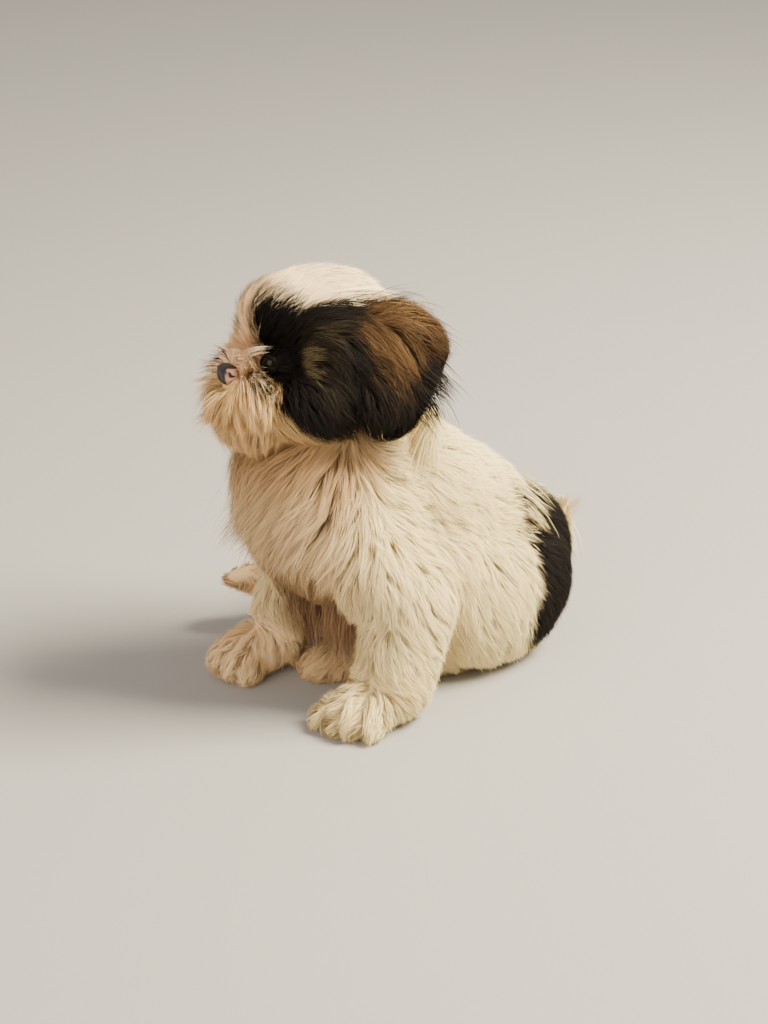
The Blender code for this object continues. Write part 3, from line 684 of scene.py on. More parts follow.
set_colours(skin_mesh, "coat_colour", coat_colour(vertex_array(skin_mesh)))
skin_mesh.materials.append(hide_material())
skin_corners = vertex_array(skin_mesh)
skin_mesh.calc_loop_triangles()
triangle_count = len(skin_mesh.loop_triangles)
skin_triangles = np.empty(triangle_count * 3, np.int32)
skin_mesh.loop_triangles.foreach_get("vertices", skin_triangles)
skin_triangles = skin_triangles.reshape(-1, 3)
triangle_loops = np.empty(triangle_count * 3, np.int32)
skin_mesh.loop_triangles.foreach_get("loops", triangle_loops)
unwrap = np.empty(len(skin_mesh.loops) * 2, np.float32)
skin_mesh.uv_layers["OFBake"].data.foreach_get("uv", unwrap)
triangle_unwrap = unwrap.reshape(-1, 2)[triangle_loops].reshape(-1, 3, 2)
finished(
    skin, "white_coat", "head", "neck", "torso", "tail", "ear_left", "ear_right",
    "foreleg_left", "foreleg_right", "hindleg_left", "hindleg_right",
)

# Eyes: round, wet and very dark, set well into the head between the lids. The iris is a brown so
# deep that it only shows close to, round a black pupil.
CORNEA_EDGE = 0.72
CORNEA_RISE = 0.05


def eye_material():
    """A wet eye: rings of colour round the way it looks, a little uneven, from pupil to rim."""
    made, tree, shader = new_material("dark_eye", 0.05)
    shader.inputs["IOR"].default_value = 1.22
    place = tree.nodes.new("ShaderNodeTexCoord")
    flat = tree.nodes.new("ShaderNodeVectorMath")
    flat.operation = "MULTIPLY"
    flat.inputs[1].default_value = (0, 1, 1)
    spread = tree.nodes.new("ShaderNodeVectorMath")
    spread.operation = "LENGTH"
    streaks = solid_texture(tree, "ShaderNodeTexNoise", 1400.0)
    jitter = tree.nodes.new("ShaderNodeMath")
    jitter.operation = "MULTIPLY_ADD"
    jitter.inputs[1].default_value = 0.0006
    share = tree.nodes.new("ShaderNodeMapRange")
    share.inputs["From Max"].default_value = EYE_RADIUS * CM
    ramp = tree.nodes.new("ShaderNodeValToRGB")
    ramp.color_ramp.elements[0].color = (0.001, 0.001, 0.001, 1)
    ramp.color_ramp.elements[1].color = (0.006, 0.005, 0.004, 1)
    for position, colour in (
        (0.34, (0.001, 0.001, 0.001)), (0.40, (0.009, 0.004, 0.002)),
        (0.62, (0.006, 0.003, 0.001)), (0.72, (0.001, 0.001, 0.001)),
    ):
        ramp.color_ramp.elements.new(position).color = (*colour, 1)
    tree.links.new(place.outputs["Object"], flat.inputs[0])
    tree.links.new(flat.outputs["Vector"], spread.inputs[0])
    tree.links.new(streaks.outputs["Fac"], jitter.inputs[0])
    tree.links.new(spread.outputs["Value"], jitter.inputs[2])
    tree.links.new(jitter.outputs["Value"], share.inputs["Value"])
    tree.links.new(share.outputs["Result"], ramp.inputs["Fac"])
    tree.links.new(ramp.outputs["Color"], shader.inputs["Base Color"])
    return made


dark_eye = eye_material()
for side, sign in (("left", -1), ("right", 1)):
    centre, turn = eye_parts(sign)
    bm = bmesh.new()
    bmesh.ops.create_uvsphere(bm, u_segments=48, v_segments=32, radius=EYE_RADIUS * CM)
    for vertex in bm.verts:
        forward = -vertex.co.x / (EYE_RADIUS * CM)
        if forward > CORNEA_EDGE:
            share = (forward - CORNEA_EDGE) / (1 - CORNEA_EDGE)
            vertex.co.x -= CORNEA_RISE * EYE_RADIUS * CM * share
    ball = new_object(f"eyeball_{side}", finished_mesh(bm))
    place = TO_MODEL @ HEAD_PLACE @ Matrix.Translation(centre) @ turn
    turn_only = place.to_3x3().normalized().to_4x4()
    ball.matrix_world = Matrix.Translation(place.translation) @ turn_only
    ball.data.materials.append(dark_eye)
    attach(ball, "root")
    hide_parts(f"eye_{side}")

# Lids: thin, dark, bare rims that close on each eye in a rounded almond, and run back under the
# hair. The upper one is fuller than the lower.
def dark_skin(name, colour, roughness, shine):
    """Bare dark skin with a fine grain, a little uneven in colour."""
    made, tree, shader = new_material(name, roughness)
    shader.inputs["Specular IOR Level"].default_value = shine
    noise = solid_texture(tree, "ShaderNodeTexNoise", 700.0)
    mottle(tree, shader, noise, colour, 0.3)
    raise_grain(tree, shader, noise.outputs["Fac"], 0.5, 0.0003)
    return made


def bridge_rings(bm, rings):
    """Joins each ring of vertices to the next one by a band of faces."""
    for first, second in zip(rings, rings[1:]):
        for step in range(len(first)):
            other = (step + 1) % len(first)
            bm.faces.new((first[step], first[other], second[other], second[step]))


EYE_OPENING = (0.44, 0.36)
# Across a lid, from the eye outward: the share of the opening's size, and the lid's height.
LID_PROFILE = (
    (0.97, -0.03), (1.0, 0.03), (1.05, 0.065), (1.14, 0.075), (1.28, 0.05), (1.5, -0.02), (1.8, -0.2)
)
LID_STEPS = 48
CORNER_PINCH = 0.14
UPPER_FULLNESS = 0.4
bm = bmesh.new()
for sign in (-1, 1):
    centre, turn = eye_parts(sign)
    place = HEAD_PLACE @ Matrix.Translation(centre) @ turn
    rings = []
    for share, height in LID_PROFILE:
        ring = []
        for step in range(LID_STEPS):
            angle = 2 * math.pi * step / LID_STEPS
            across = share * EYE_OPENING[0] * math.cos(angle)
            up = share * EYE_OPENING[1] * math.sin(angle) * (1 - CORNER_PINCH * math.cos(angle) ** 2)
            fuller = 1.0 + UPPER_FULLNESS * max(0.0, math.sin(angle))
            deep = math.sqrt(max(0.0, EYE_RADIUS**2 - across**2 - up**2))
            ring.append(bm.verts.new(place @ Vector((-deep - fuller * height, across, up))))
        rings.append(ring)
    bridge_rings(bm, rings)
bmesh.ops.recalc_face_normals(bm, faces=bm.faces)
lids = new_object("eyelids", finished_mesh(bm))
lids.data.materials.append(dark_skin("lid_skin", (0.006, 0.005, 0.004), 0.6, 0.05))
finished(lids, "dark_coat")

# Nose: bare, moist, pebbled leather, short and broad. It is still half pink, as a young puppy's
# is, with black filling in from the front. A comma-shaped nostril is sunk on each side.
NOSE_RADII = (0.42, 0.74, 0.54)
NOSE_ROUNDNESS = 0.78
NOSTRIL_PLACE = (-0.57, 0.76, 0.28)
NOSTRIL_REACH = 0.24
SLIT_PLACE = (-0.32, 0.93, 0.12)
SLIT_REACH = (0.34, 0.30, 0.09)
NOSTRIL_DEPTH = 0.28
GROOVE_DEPTH = 0.07
WING_HEIGHT = 0.05
bm = bmesh.new()
bmesh.ops.create_icosphere(bm, subdivisions=6, radius=1.0)
spots = np.array([v.co for v in bm.verts])
front = -spots[:, 0]
shape = np.sign(spots) * np.abs(spots) ** NOSE_ROUNDNESS * np.array(NOSE_RADII)
shape[:, 1] *= 1.0 - 0.34 * smooth_step(-spots[:, 2], -0.2, 1.0)
shape[:, 0] += 0.16 * smooth_step(-spots[:, 2], -0.1, 1.0)
pit = np.zeros(len(spots))
for sign in (-1, 1):
    to_side = np.array((1, sign, 1))
    away = np.linalg.norm(spots - NOSTRIL_PLACE * to_side, axis=1)
    hole = np.exp(-((away / NOSTRIL_REACH) ** 2))
    slit_way = (spots - SLIT_PLACE * to_side) / np.array(SLIT_REACH)
    pit += hole + 0.7 * np.exp(-(np.linalg.norm(slit_way, axis=1) ** 2))
    wing = np.exp(-(((spots[:, 1] - sign * 0.72) / 0.2) ** 2 + ((spots[:, 2] - 0.6) / 0.14) ** 2))
    shape[:, 0] -= WING_HEIGHT * wing * smooth_step(front, 0.0, 0.3)
groove = np.exp(-((spots[:, 1] / 0.07) ** 2)) * smooth_step(-spots[:, 2], -0.4, 0.1)
groove *= smooth_step(front, 0.2, 0.5)
pit = np.clip(pit, 0, 1)
shape[:, 0] += NOSTRIL_DEPTH * pit + GROOVE_DEPTH * groove
for vertex, place in zip(bm.verts, shape + np.array(NOSE_CENTRE)):
    vertex.co = HEAD_PLACE @ Vector(place)
nose = new_object("nose_leather", finished_mesh(bm))
NOSE_PINK = (0.44, 0.24, 0.16)
NOSE_BLACK = np.array((0.010, 0.007, 0.007))
patchy = wander(spots, 0.9, 21) * 0.10 + wander(spots, 0.3, 22) * 0.05
black = smooth_step(spots[:, 1] + patchy, -0.66, -0.56)
black *= smooth_step(spots[:, 2] + 0.5 * patchy, -0.62, -0.46)
black = np.maximum(black, 0.9 * smooth_step(spots[:, 2] + patchy, 0.62, 0.74))
black = np.maximum(black, smooth_step(pit, 0.30, 0.65))
set_colours(nose.data, "nose_colour", mixed(np.tile(NOSE_PINK, (len(spots), 1)), NOSE_BLACK, black))
nose_skin, tree, shader = new_material("nose_leather", 0.42)
tree.links.new(painted(tree, "nose_colour").outputs["Color"], shader.inputs["Base Color"])
pebbles = solid_texture(tree, "ShaderNodeTexVoronoi", 1500.0)
raise_grain(tree, shader, pebbles.outputs["Distance"], 0.5, 0.0003)
nose.data.materials.append(nose_skin)
finished(nose, "nose_skin", "nose")

# Lips: two dark folds that meet in the line of the mouth, mostly under the moustache.
MOUTH_MIDDLE = (-2.9, NOSE_CENTRE[1], -1.85)
MOUTH_REACH = math.radians(62)
MOUTH_DROOP = 0.12
LIP_RISE = 0.12
LIP_THICKNESS = 0.13
LIP_HALF_STEPS = 12
LIP_SIDES = 8
bm = bmesh.new()
upward = HEAD_PLACE.to_3x3() @ Vector((0, 0, 1))
for fold in (LIP_RISE, -LIP_RISE):
    rings = []
    for step in range(2 * LIP_HALF_STEPS + 1):
        angle = MOUTH_REACH * (step / LIP_HALF_STEPS - 1)
        height = MOUTH_MIDDLE[2] + fold - MOUTH_DROOP * math.sin(2 * abs(angle))
        start = HEAD_PLACE @ Vector((*MOUTH_MIDDLE[:2], height))
        way = HEAD_PLACE.to_3x3() @ Vector((-math.cos(angle), math.sin(angle), 0))
        middle = skin_tree.ray_cast(start, way, 5.0)[0]
        fullness = 0.25 + 0.75 * math.cos(angle / MOUTH_REACH * math.pi / 2)
        ring = []
        for corner in range(LIP_SIDES):
            lean = 2 * math.pi * corner / LIP_SIDES
            out = upward * math.sin(lean) + way * math.cos(lean)
            ring.append(bm.verts.new(middle + LIP_THICKNESS * fullness * out))
        rings.append(ring)
    bridge_rings(bm, rings)
    bm.faces.new(rings[0])
    bm.faces.new(rings[-1])
bmesh.ops.recalc_face_normals(bm, faces=bm.faces)
lips = new_object("lips", finished_mesh(bm))
lips.data.materials.append(dark_skin("lip_skin", (0.05, 0.032, 0.028), 0.4, 0.3))
finished(lips, "nose_skin")

# Coat: soft, fine hair in thin tapered tufts, which gather towards their tips into small locks
# and lie along the body. It is shortest round the eyes and nose, and longest on the ears.
GUIDE_POINTS = 6
FACE_PARTING = (-4.1, 0.1, 0.2)
EAR_ROOT = np.array((1.35, -3.55, 2.1))
ANKLES = {
    "foreleg_left": (-5.8, -4.4, 2.4),
    "foreleg_right": (-6.6, 3.6, 2.3),
    "hindleg_left": (-3.0, -0.3, 2.0),
    "hindleg_right": (-2.9, 6.1, 2.5),
}


def unit(vectors):
    """The same ways with a length of one."""
    return vectors / np.maximum(np.linalg.norm(vectors, axis=1, keepdims=True), 1e-9)


def head_lie(local):
    """Which way hair lies on the head: out from the nose, then back over it and down its sides."""
    x, y, z = local.T
    ones = np.ones(len(x))
    radial = unit(local - np.array(FACE_PARTING))
    below = smooth_step(-z, -0.1, 1.0)
    radial[:, 2] += 0.25 * (1 - below) - 0.85 * below
    radial[:, 0] += 0.15 - 0.25 * below
    back = np.stack([ones, 0.10 * y, -0.25 * np.maximum(0, x + 1.0)], axis=1)
    down = np.stack([0.75 * ones, 0 * y, -0.85 * ones], axis=1)
    rear = mixed(down, back, smooth_step(z - 0.12 * x, 1.2, 2.8))
    lie = unit(mixed(unit(rear), radial, smooth_step(-x, 0.2, 2.6)))
    for side in (-1, 1):
        away = local - np.array((EYE_CENTRE[0] - 0.4, side * EYE_CENTRE[1] * 0.92, EYE_CENTRE[2]))
        reach = np.linalg.norm(away, axis=1, keepdims=True)
        lie += 2.2 * np.exp(-((reach / 0.75) ** 2)) * away / np.maximum(reach, 0.1)
    return unit(lie)


def ear_lie(local, side):
    """Ear hair fans out from the front of the ear's base, and falls."""
    away = local - EAR_ROOT * np.array((1, side, 1))
    reach = np.linalg.norm(away, axis=1, keepdims=True)
    return unit(away / np.maximum(reach, 0.3) + np.array((0.05, 0, -0.35)) * (0.6 + 0.35 * reach))


def coat_lie(points, shares):
    """Which way the coat lies at each point, before it is laid along the surface."""
    x, y, z = points.T
    local = in_head(points)
    ones = np.ones(len(points))
    chest = smooth_step(-x - 0.5 * np.abs(y + 0.3), 2.6, 5.0)
    over = smooth_step(z - 7.5 + 0.55 * (x + 1), 0, 3)
    side = np.stack([0.5 * ones + 0.5 * over, 0.04 * y, -ones + 0.35 * over], axis=1)
    front = np.stack([-0.45 * ones, -0.12 * (y - 0.3), -ones], axis=1)
    ways = {
        "head": head_lie(local) @ head_turn.T,
        "ear_left": ear_lie(local, 1) @ head_turn.T,
        "ear_right": ear_lie(local, -1) @ head_turn.T,
        "trunk": mixed(side, front, chest),
    }
    for name, ankle in ANKLES.items():
        fore = name.startswith("fore")
        down = np.stack([(0.28 if fore else 0.5) * ones, 0 * y, -ones], axis=1)
        fan = unit(points - np.array(ankle)) + np.array((-0.25, 0, -0.35))
        if fore:
            along, across = toe_place(points, name)
            onto_toe = 0.8 * np.sin(2 * np.pi * across) * smooth_step(along, -1.0, 0.0)
            turn = math.radians(PAWS[name][1])
            fan += onto_toe[:, None] * np.array((-math.sin(turn), math.cos(turn), 0))
        start = 4.4 if fore else 0.7
        share = smooth_step(-z, -3.4, -2.3) * smooth_step(-x, start - 1.4, start)
        ways[name] = mixed(down, fan, share)
    ways["tail"] = np.stack([0.45 * ones, 0.12 * ones, 0.95 * ones], axis=1)
    total = np.zeros((len(points), 3))
    for name, share in shares.items():
        total += unit(ways[name]) * share[:, None]
    return unit(total)


# How long the hair is on the ears, tail and legs, in centimetres. It is shorter on the feet.
EAR_HAIR = 3.0
TAIL_HAIR = 1.9
FORELEG_HAIR = 1.7
HINDLEG_HAIR = 1.8


def coat_length(points, shares):
    """How long the hair is at each point."""
    x, _, z = points.T
    local = in_head(points)
    nose_reach = np.linalg.norm(local - np.array(NOSE_CENTRE), axis=1)
    eyes = [np.array((EYE_CENTRE[0], side * EYE_CENTRE[1], EYE_CENTRE[2])) for side in (-1, 1)]
    eye_reach = np.min([np.linalg.norm(local - eye, axis=1) for eye in eyes], axis=0)
    face = np.interp(nose_reach, (0.7, 1.4, 2.6, 4.5), (0.60, 1.05, 1.7, 1.8))
    face = np.minimum(face, np.interp(eye_reach, (0.6, 1.0, 2.2), (0.40, 0.65, 1.8)))
    foot = smooth_step(-z, -3.2, -2.2) * smooth_step(-x, 1.0, 2.4)
    trunk = 1.9 + 0.6 * smooth_step(-x, 2, 5.5)
    trunk -= 1.4 * belly_share(points)
    total = face * shares["head"] + trunk * shares["trunk"]
    total += EAR_HAIR * (shares["ear_left"] + shares["ear_right"]) + TAIL_HAIR * shares["tail"]
    total += (FORELEG_HAIR - 0.5 * foot) * (shares["foreleg_left"] + shares["foreleg_right"])
    total += (HINDLEG_HAIR - 0.8 * foot) * (shares["hindleg_left"] + shares["hindleg_right"])
    return total


def coat_lift(points, shares):
    """How far the tips stand out past the lie of the coat: most on the muzzle and the chest."""
    x, _, z = points.T
    nose_reach = np.linalg.norm(in_head(points) - np.array(NOSE_CENTRE), axis=1)
    muzzle = np.interp(nose_reach, (0.6, 1.1, 2.0, 3.4), (0.50, 0.80, 0.34, 0.0)) * shares["head"]
    chest = 0.45 * smooth_step(-x, 3.5, 6.5) * smooth_step(z, 8, 9) * shares["trunk"]
    return muzzle + chest + 0.2 * shares["tail"] + 0.06


def coat_loft(points, shares):
    """The share of the coat's depth that it stands up to: little on the belly and between toes."""
    loft = 1 - 0.75 * belly_share(points) * shares["trunk"]
    return loft * (1 - 0.9 * toe_gap(points))


def coat_evenness(points, shares):
    """How level the tufts' tips stand: most on the back and the flanks, where the coat is flat."""
    rear = shares["trunk"] * smooth_step(points[:, 0], -4.0, -1.0)
    return 0.25 + 0.45 * (rear + shares["hindleg_left"] + shares["hindleg_right"])


def coat_gather(points, shares):
    """How much tufts draw together into locks: least on the sides, most on muzzle, ears, legs."""
    low_face = smooth_step(-in_head(points)[:, 2], -0.6, 0.8) * shares["head"]
    chest = smooth_step(-points[:, 0], 2.5, 5.0) * shares["trunk"]
    legs = shares["foreleg_left"] + shares["foreleg_right"]
    ears = shares["ear_left"] + shares["ear_right"]
    return 0.12 + 0.36 * low_face + 0.22 * chest + 0.24 * legs + 0.2 * ears


# The coat hangs over the creases of the body, so it is laid along a skin whose creases on the
# trunk, neck and back of the head are smoothed away.
DRAPING_STEPS = 140
skin_edges = np.empty(len(skin_mesh.edges) * 2, np.int32)
skin_mesh.edges.foreach_get("vertices", skin_edges)
first_end, second_end = skin_edges.reshape(-1, 2).T
neighbours = np.bincount(skin_edges, minlength=len(skin_corners)).astype(float)
corner_shares = membership(skin_corners)
behind = smooth_step(in_head(skin_corners)[:, 0], -0.5, 1.0)
easing = 0.5 * (corner_shares["trunk"] + corner_shares["head"] * behind)[:, None]
draped = skin_corners.copy()
for _ in range(DRAPING_STEPS):
    around = np.stack([
        np.bincount(first_end, draped[second_end, axis], len(draped))
        + np.bincount(second_end, draped[first_end, axis], len(draped))
        for axis in range(3)
    ], axis=1) / neighbours[:, None]
    draped += easing * (around - draped)
drape_tree = BVHTree.FromPolygons(draped.tolist(), skin_triangles.tolist())
first, second, third = (skin_corners[skin_triangles[:, corner]] for corner in range(3))
triangle_area = np.linalg.norm(np.cross(second - first, third - first), axis=1) / 2
triangle_middle = skin_corners[skin_triangles].mean(axis=1)


SOLE_HEIGHT = 0.12


def bare(points):
    """Whether a point lies on the nose, inside an eye's lids, or on the floor side of a foot."""
    local = in_head(points)
    nose_reach = (local - np.array(NOSE_CENTRE)) / (np.array(NOSE_RADII) + 0.05)
    found = np.linalg.norm(nose_reach, axis=1) < 1.0
    for sign in (-1, 1):
        centre, turn = eye_parts(sign)
        in_eye = (local - np.array(centre)) @ np.array(turn.to_3x3())
        rim = np.hypot(in_eye[:, 1] / EYE_OPENING[0], in_eye[:, 2] / EYE_OPENING[1])
        found |= (rim < 0.98) & (in_eye[:, 0] < 0.1)
    return found | (points[:, 2] < SOLE_HEIGHT)


def scattered(random, count, weight):
    """Random points over the skin, more of them where the weight is greater."""
    chosen = random.choice(triangle_count, size=count, p=weight / weight.sum())
    mix = random.dirichlet((1, 1, 1), size=count)
    points = (skin_corners[skin_triangles[chosen]] * mix[:, :, None]).sum(axis=1)
    patch = (triangle_unwrap[chosen] * mix[:, :, None]).sum(axis=1)
    keep = ~bare(points)
    return points[keep], patch[keep]


# How deep the coat is where nothing hangs over the skin, and at most.
LEAST_DEPTH = 0.25
MOST_DEPTH = 1.5
# How much of its last way a guide keeps at each step.
STIFFNESS = 0.45


def guide_paths(points, random):
    """For each guide: its points on the skin, the ways up there, and how high it stands."""
    count = len(points)
    surface = np.empty((count, GUIDE_POINTS, 3))
    upward = np.empty((count, GUIDE_POINTS, 3))
    depth = np.empty((count, GUIDE_POINTS))
    place = points.copy()
    shares = membership(points)
    length = coat_length(points, shares) * random.uniform(0.85, 1.15, count)
    lift = coat_lift(points, shares) * random.uniform(0.3, 1.6, count)
    sway = 0.22 * wander(points, 2.6, 31) + 0.20 * wander(points, 0.9, 32)
    sway += random.normal(0, 0.08, count)
    direction = None
    for step in range(GUIDE_POINTS):
        for number in range(count):
            at, up = drape_tree.find_nearest(place[number])[:2]
            surface[number, step] = at
            upward[number, step] = up
            outer, outward = coat_tree.find_nearest(at)[:2]
            covered = (outer - at).dot(outward) > 0
            hit = coat_tree.ray_cast(at + 0.02 * up, up, 1.8)[3] if covered else None
            depth[number, step] = LEAST_DEPTH if hit is None else min(hit, MOST_DEPTH)
        shares = membership(surface[:, step])
        depth[:, step] *= coat_loft(surface[:, step], shares)
        depth[:, step] += lift * (step / (GUIDE_POINTS - 1)) ** 2
        up = upward[:, step]
        wanted = coat_lie(surface[:, step], shares)
        wanted = unit(wanted + sway[:, None] * np.cross(up, wanted))
        if direction is not None:
            wanted = unit(STIFFNESS * direction + (1 - STIFFNESS) * wanted)
        direction = wanted
        direction = unit(direction - (direction * up).sum(axis=1, keepdims=True) * up)
        place = surface[:, step] + direction * (length / (GUIDE_POINTS - 1))[:, None]
    eased = np.concatenate([depth[:, :1], depth, depth[:, -1:]], axis=1)
    depth = 0.25 * eased[:, :-2] + 0.5 * depth + 0.25 * eased[:, 2:]
    return surface, upward, depth


# The lowest that a tuft reaches, how far tufts roll off the flat, and the size of each tuft's
# patch on the unwrap of the skin.
LOWEST_HAIR = 0.03
ROLL = 0.33
PATCH_SIZE = 0.003


def tuft_mesh(name, spine, ups, wide, patch, colours, luck, random):
    """Tapered flat tufts along those spines, each lying nearly flat to the way up."""
    count, points_each = spine.shape[:2]
    spine[:, :, 2] = np.maximum(spine[:, :, 2], LOWEST_HAIR)
    along = unit(spine[:, -1] - spine[:, 0])
    roll = random.normal(0, ROLL, count)[:, None]
    steps = np.linspace(0, 1, points_each)
    swell = np.interp(steps, (0, 0.4, 1), (0.75, 1.0, 0.0))
    per_hair = 2 * points_each - 1
    vertices = np.empty((count, per_hair, 3))
    for column in range(points_each - 1):
        flat = unit(np.cross(along, ups[:, column]))
        flat = unit(flat * np.cos(roll) + ups[:, column] * np.sin(roll))
        half = 0.5 * swell[column] * wide[:, None] * flat
        vertices[:, 2 * column] = spine[:, column] - half
        vertices[:, 2 * column + 1] = spine[:, column] + half
    vertices[:, -1] = spine[:, -1]
    pattern = []
    for first in range(0, per_hair - 3, 2):
        pattern += [(first, first + 1, first + 3), (first, first + 3, first + 2)]
    pattern.append((per_hair - 3, per_hair - 2, per_hair - 1))
    faces = (np.array(pattern)[None] + (np.arange(count) * per_hair)[:, None, None]).reshape(-1, 3)
    mesh = bpy.data.meshes.new(name)
    mesh.vertices.add(count * per_hair)
    mesh.vertices.foreach_set("co", vertices.astype(np.float32).ravel())
    mesh.loops.add(len(faces) * 3)
    mesh.loops.foreach_set("vertex_index", faces.astype(np.int32).ravel())
    mesh.polygons.add(len(faces))
    mesh.polygons.foreach_set("loop_start", np.arange(0, len(faces) * 3, 3, dtype=np.int32))
    mesh.polygons.foreach_set("use_smooth", np.ones(len(faces), bool))
    mesh.update(calc_edges=True)
    heights = np.append(np.repeat(steps[:-1], 2), 1.0)
    across = np.append(np.tile((-PATCH_SIZE / 2, PATCH_SIZE / 2), points_each - 1), 0.0)
    spread = np.stack([across, heights * PATCH_SIZE], axis=1)
    unwrapped = (patch[:, None, :] + spread[None]).reshape(-1, 2)
    layer_uv = mesh.uv_layers.new(name="OFBake", do_init=False)
    layer_uv.data.foreach_set("uv", unwrapped[faces.ravel()].astype(np.float32).ravel())
    set_colours(mesh, "coat_colour", np.repeat(colours, per_hair, axis=0))
    place_along = mesh.attributes.new("along", "FLOAT", "POINT")
    place_along.data.foreach_set("value", np.tile(heights, count).astype(np.float32))
    chance = mesh.attributes.new("chance", "FLOAT", "POINT")
    chance.data.foreach_set("value", np.repeat(luck, per_hair).astype(np.float32))
    return new_object(name, mesh)


# How many tufts stray from their lock, how far, and how much a lock waves.
WILD_SHARE = 0.05
STRAY_REACH = 0.045
WAVE_HEIGHT = 0.05


def hair_mesh(name, roots, patch, random, width, points_each):
    """Tufts from those roots, each bent along one of the two nearest guides."""
    count = len(roots)
    near = np.empty(count, int)
    for number, chance in enumerate(random.uniform(size=count)):
        (_, first, gap), (_, second, wider) = guide_finder.find_n(roots[number], 2)
        near[number] = first if chance < wider**3 / (gap**3 + wider**3) else second
    surface, upward, depth = guide_surface[near], guide_up[near], guide_depth[near]
    gather, phase = guide_gather[near], guide_phase[near]
    reach = random.uniform(0.66, 1.06, count)
    layer = np.clip(random.beta(3.0, 1.5, count), 0.12, 1.0)
    layer = 1 - (1 - layer) * (1 - guide_even[near])
    sideways = unit(np.cross(surface[:, 1] - surface[:, 0], upward[:, 0]))
    wild = (random.uniform(size=count) < WILD_SHARE)[:, None]
    stray = random.normal(0, 1, (count, 3)) * STRAY_REACH * (1 + 2.2 * wild)
    offset = roots - surface[:, 0]
    rows = np.arange(count)

    def place_at(step):
        """Where each tuft is at that share of its length, and the way up there."""
        spot_along = np.minimum(step * reach, 1.0) * (GUIDE_POINTS - 1)
        low = np.minimum(spot_along.astype(int), GUIDE_POINTS - 2)
        part = (spot_along - low)[:, None]
        on_skin = surface[rows, low] * (1 - part) + surface[rows, low + 1] * part
        up = unit(upward[rows, low] * (1 - part) + upward[rows, low + 1] * part)
        deep = depth[rows, low] * (1 - part[:, 0]) + depth[rows, low + 1] * part[:, 0]
        high = deep * (1 - (1 - step) ** 2 - 0.04) * layer
        wave = WAVE_HEIGHT * np.sin(2 * np.pi * step * 1.1 + phase) * step
        spread = offset * (1 - gather * step**1.4)[:, None]
        place = on_skin + up * high[:, None] + spread + sideways * wave[:, None]
        return place + stray * step[:, None], up

    steps = np.linspace(0, 1, points_each)
    placed = [place_at(np.full(count, step)) for step in steps]
    spine = np.stack([place for place, _ in placed], axis=1)
    ups = np.stack([up for _, up in placed], axis=1)
    wide = width * random.uniform(0.7, 1.25, count)
    colours = coat_colour(place_at(random.uniform(0.15, 0.9, count))[0])
    luck = 0.45 * guide_luck[near] + 0.55 * random.uniform(size=count)
    return tuft_mesh(name, spine, ups, wide, patch, colours, luck, random)


def hair_material():
    """Fine soft hair with a faint shine, darkened towards its roots by painted shade and a little
    lighter at its tips.
    """
    made, tree, shader = new_material("hair", 0.7)
    shader.inputs["Specular IOR Level"].default_value = 0.1
    tone = tree.nodes.new("ShaderNodeGroup")
    tone.node_tree = hair_tone
    for name, socket, output in (
        ("coat_colour", "Colour", "Color"), ("along", "Along", "Fac"), ("chance", "Chance", "Fac")
    ):
        tree.links.new(painted(tree, name).outputs[output], tone.inputs[socket])
    tree.links.new(tone.outputs["Colour"], shader.inputs["Base Color"])
    return made


GUIDE_COUNT = 16000
random = np.random.default_rng(7)
x, _, z = triangle_middle.T
head_x = in_head(triangle_middle)[:, 0]
share_of = membership(triangle_middle)
face_share = share_of["head"] * smooth_step(-head_x, 0.9, 2.4)
guide_weight = triangle_area * (1 + 1.6 * face_share)
guide_roots, guide_patch = scattered(random, GUIDE_COUNT, guide_weight)
guide_surface, guide_up, guide_depth = guide_paths(guide_roots, random)
guide_finder = KDTree(len(guide_roots))
for number, point in enumerate(guide_roots):
    guide_finder.insert(point, number)
guide_finder.balance()
guide_shares = membership(guide_roots)
guide_gather = coat_gather(guide_roots, guide_shares)
guide_gather += random.uniform(-0.12, 0.16, len(guide_roots))
guide_even = coat_evenness(guide_roots, guide_shares)
guide_phase = random.uniform(0, 2 * np.pi, len(guide_roots))
guide_luck = random.uniform(0, 1, len(guide_roots))
hair = hair_material()

# Each piece of coat: where it grows, how many tufts, their width, and the points along each.
forward = smooth_step(-x, 0.5, 3.0)
rear = share_of["trunk"] * (1 - forward)
upper = smooth_step(z, 7.0, 9.0)
PIECES = {
    "coat_face": (face_share, 60000, 0.026, 3),
    "coat_crown": (share_of["head"] - face_share, 60000, 0.030, 3),
    "coat_ears": (share_of["ear_left"] + share_of["ear_right"], 38500, 0.032, 4),
    "coat_chest": (share_of["trunk"] * forward, 62000, 0.036, 3),
    "coat_back": (rear * upper, 42000, 0.038, 3),
    "coat_flanks": (rear * (1 - upper), 60000, 0.038, 3),
    "coat_forelegs": (share_of["foreleg_left"] + share_of["foreleg_right"], 62000, 0.030, 3),
    "coat_hindlegs": (share_of["hindleg_left"] + share_of["hindleg_right"], 62000, 0.036, 3),
    "coat_tail": (share_of["tail"], 9000, 0.032, 4),
}
for name, (weight, count, width, points_each) in PIECES.items():
    roots, patch = scattered(random, count, weight * triangle_area)
    piece = hair_mesh(name, roots, patch, random, width, points_each)
    piece.data.materials.append(hair)
    finished(piece, "dark_coat" if name == "coat_ears" else "white_coat")

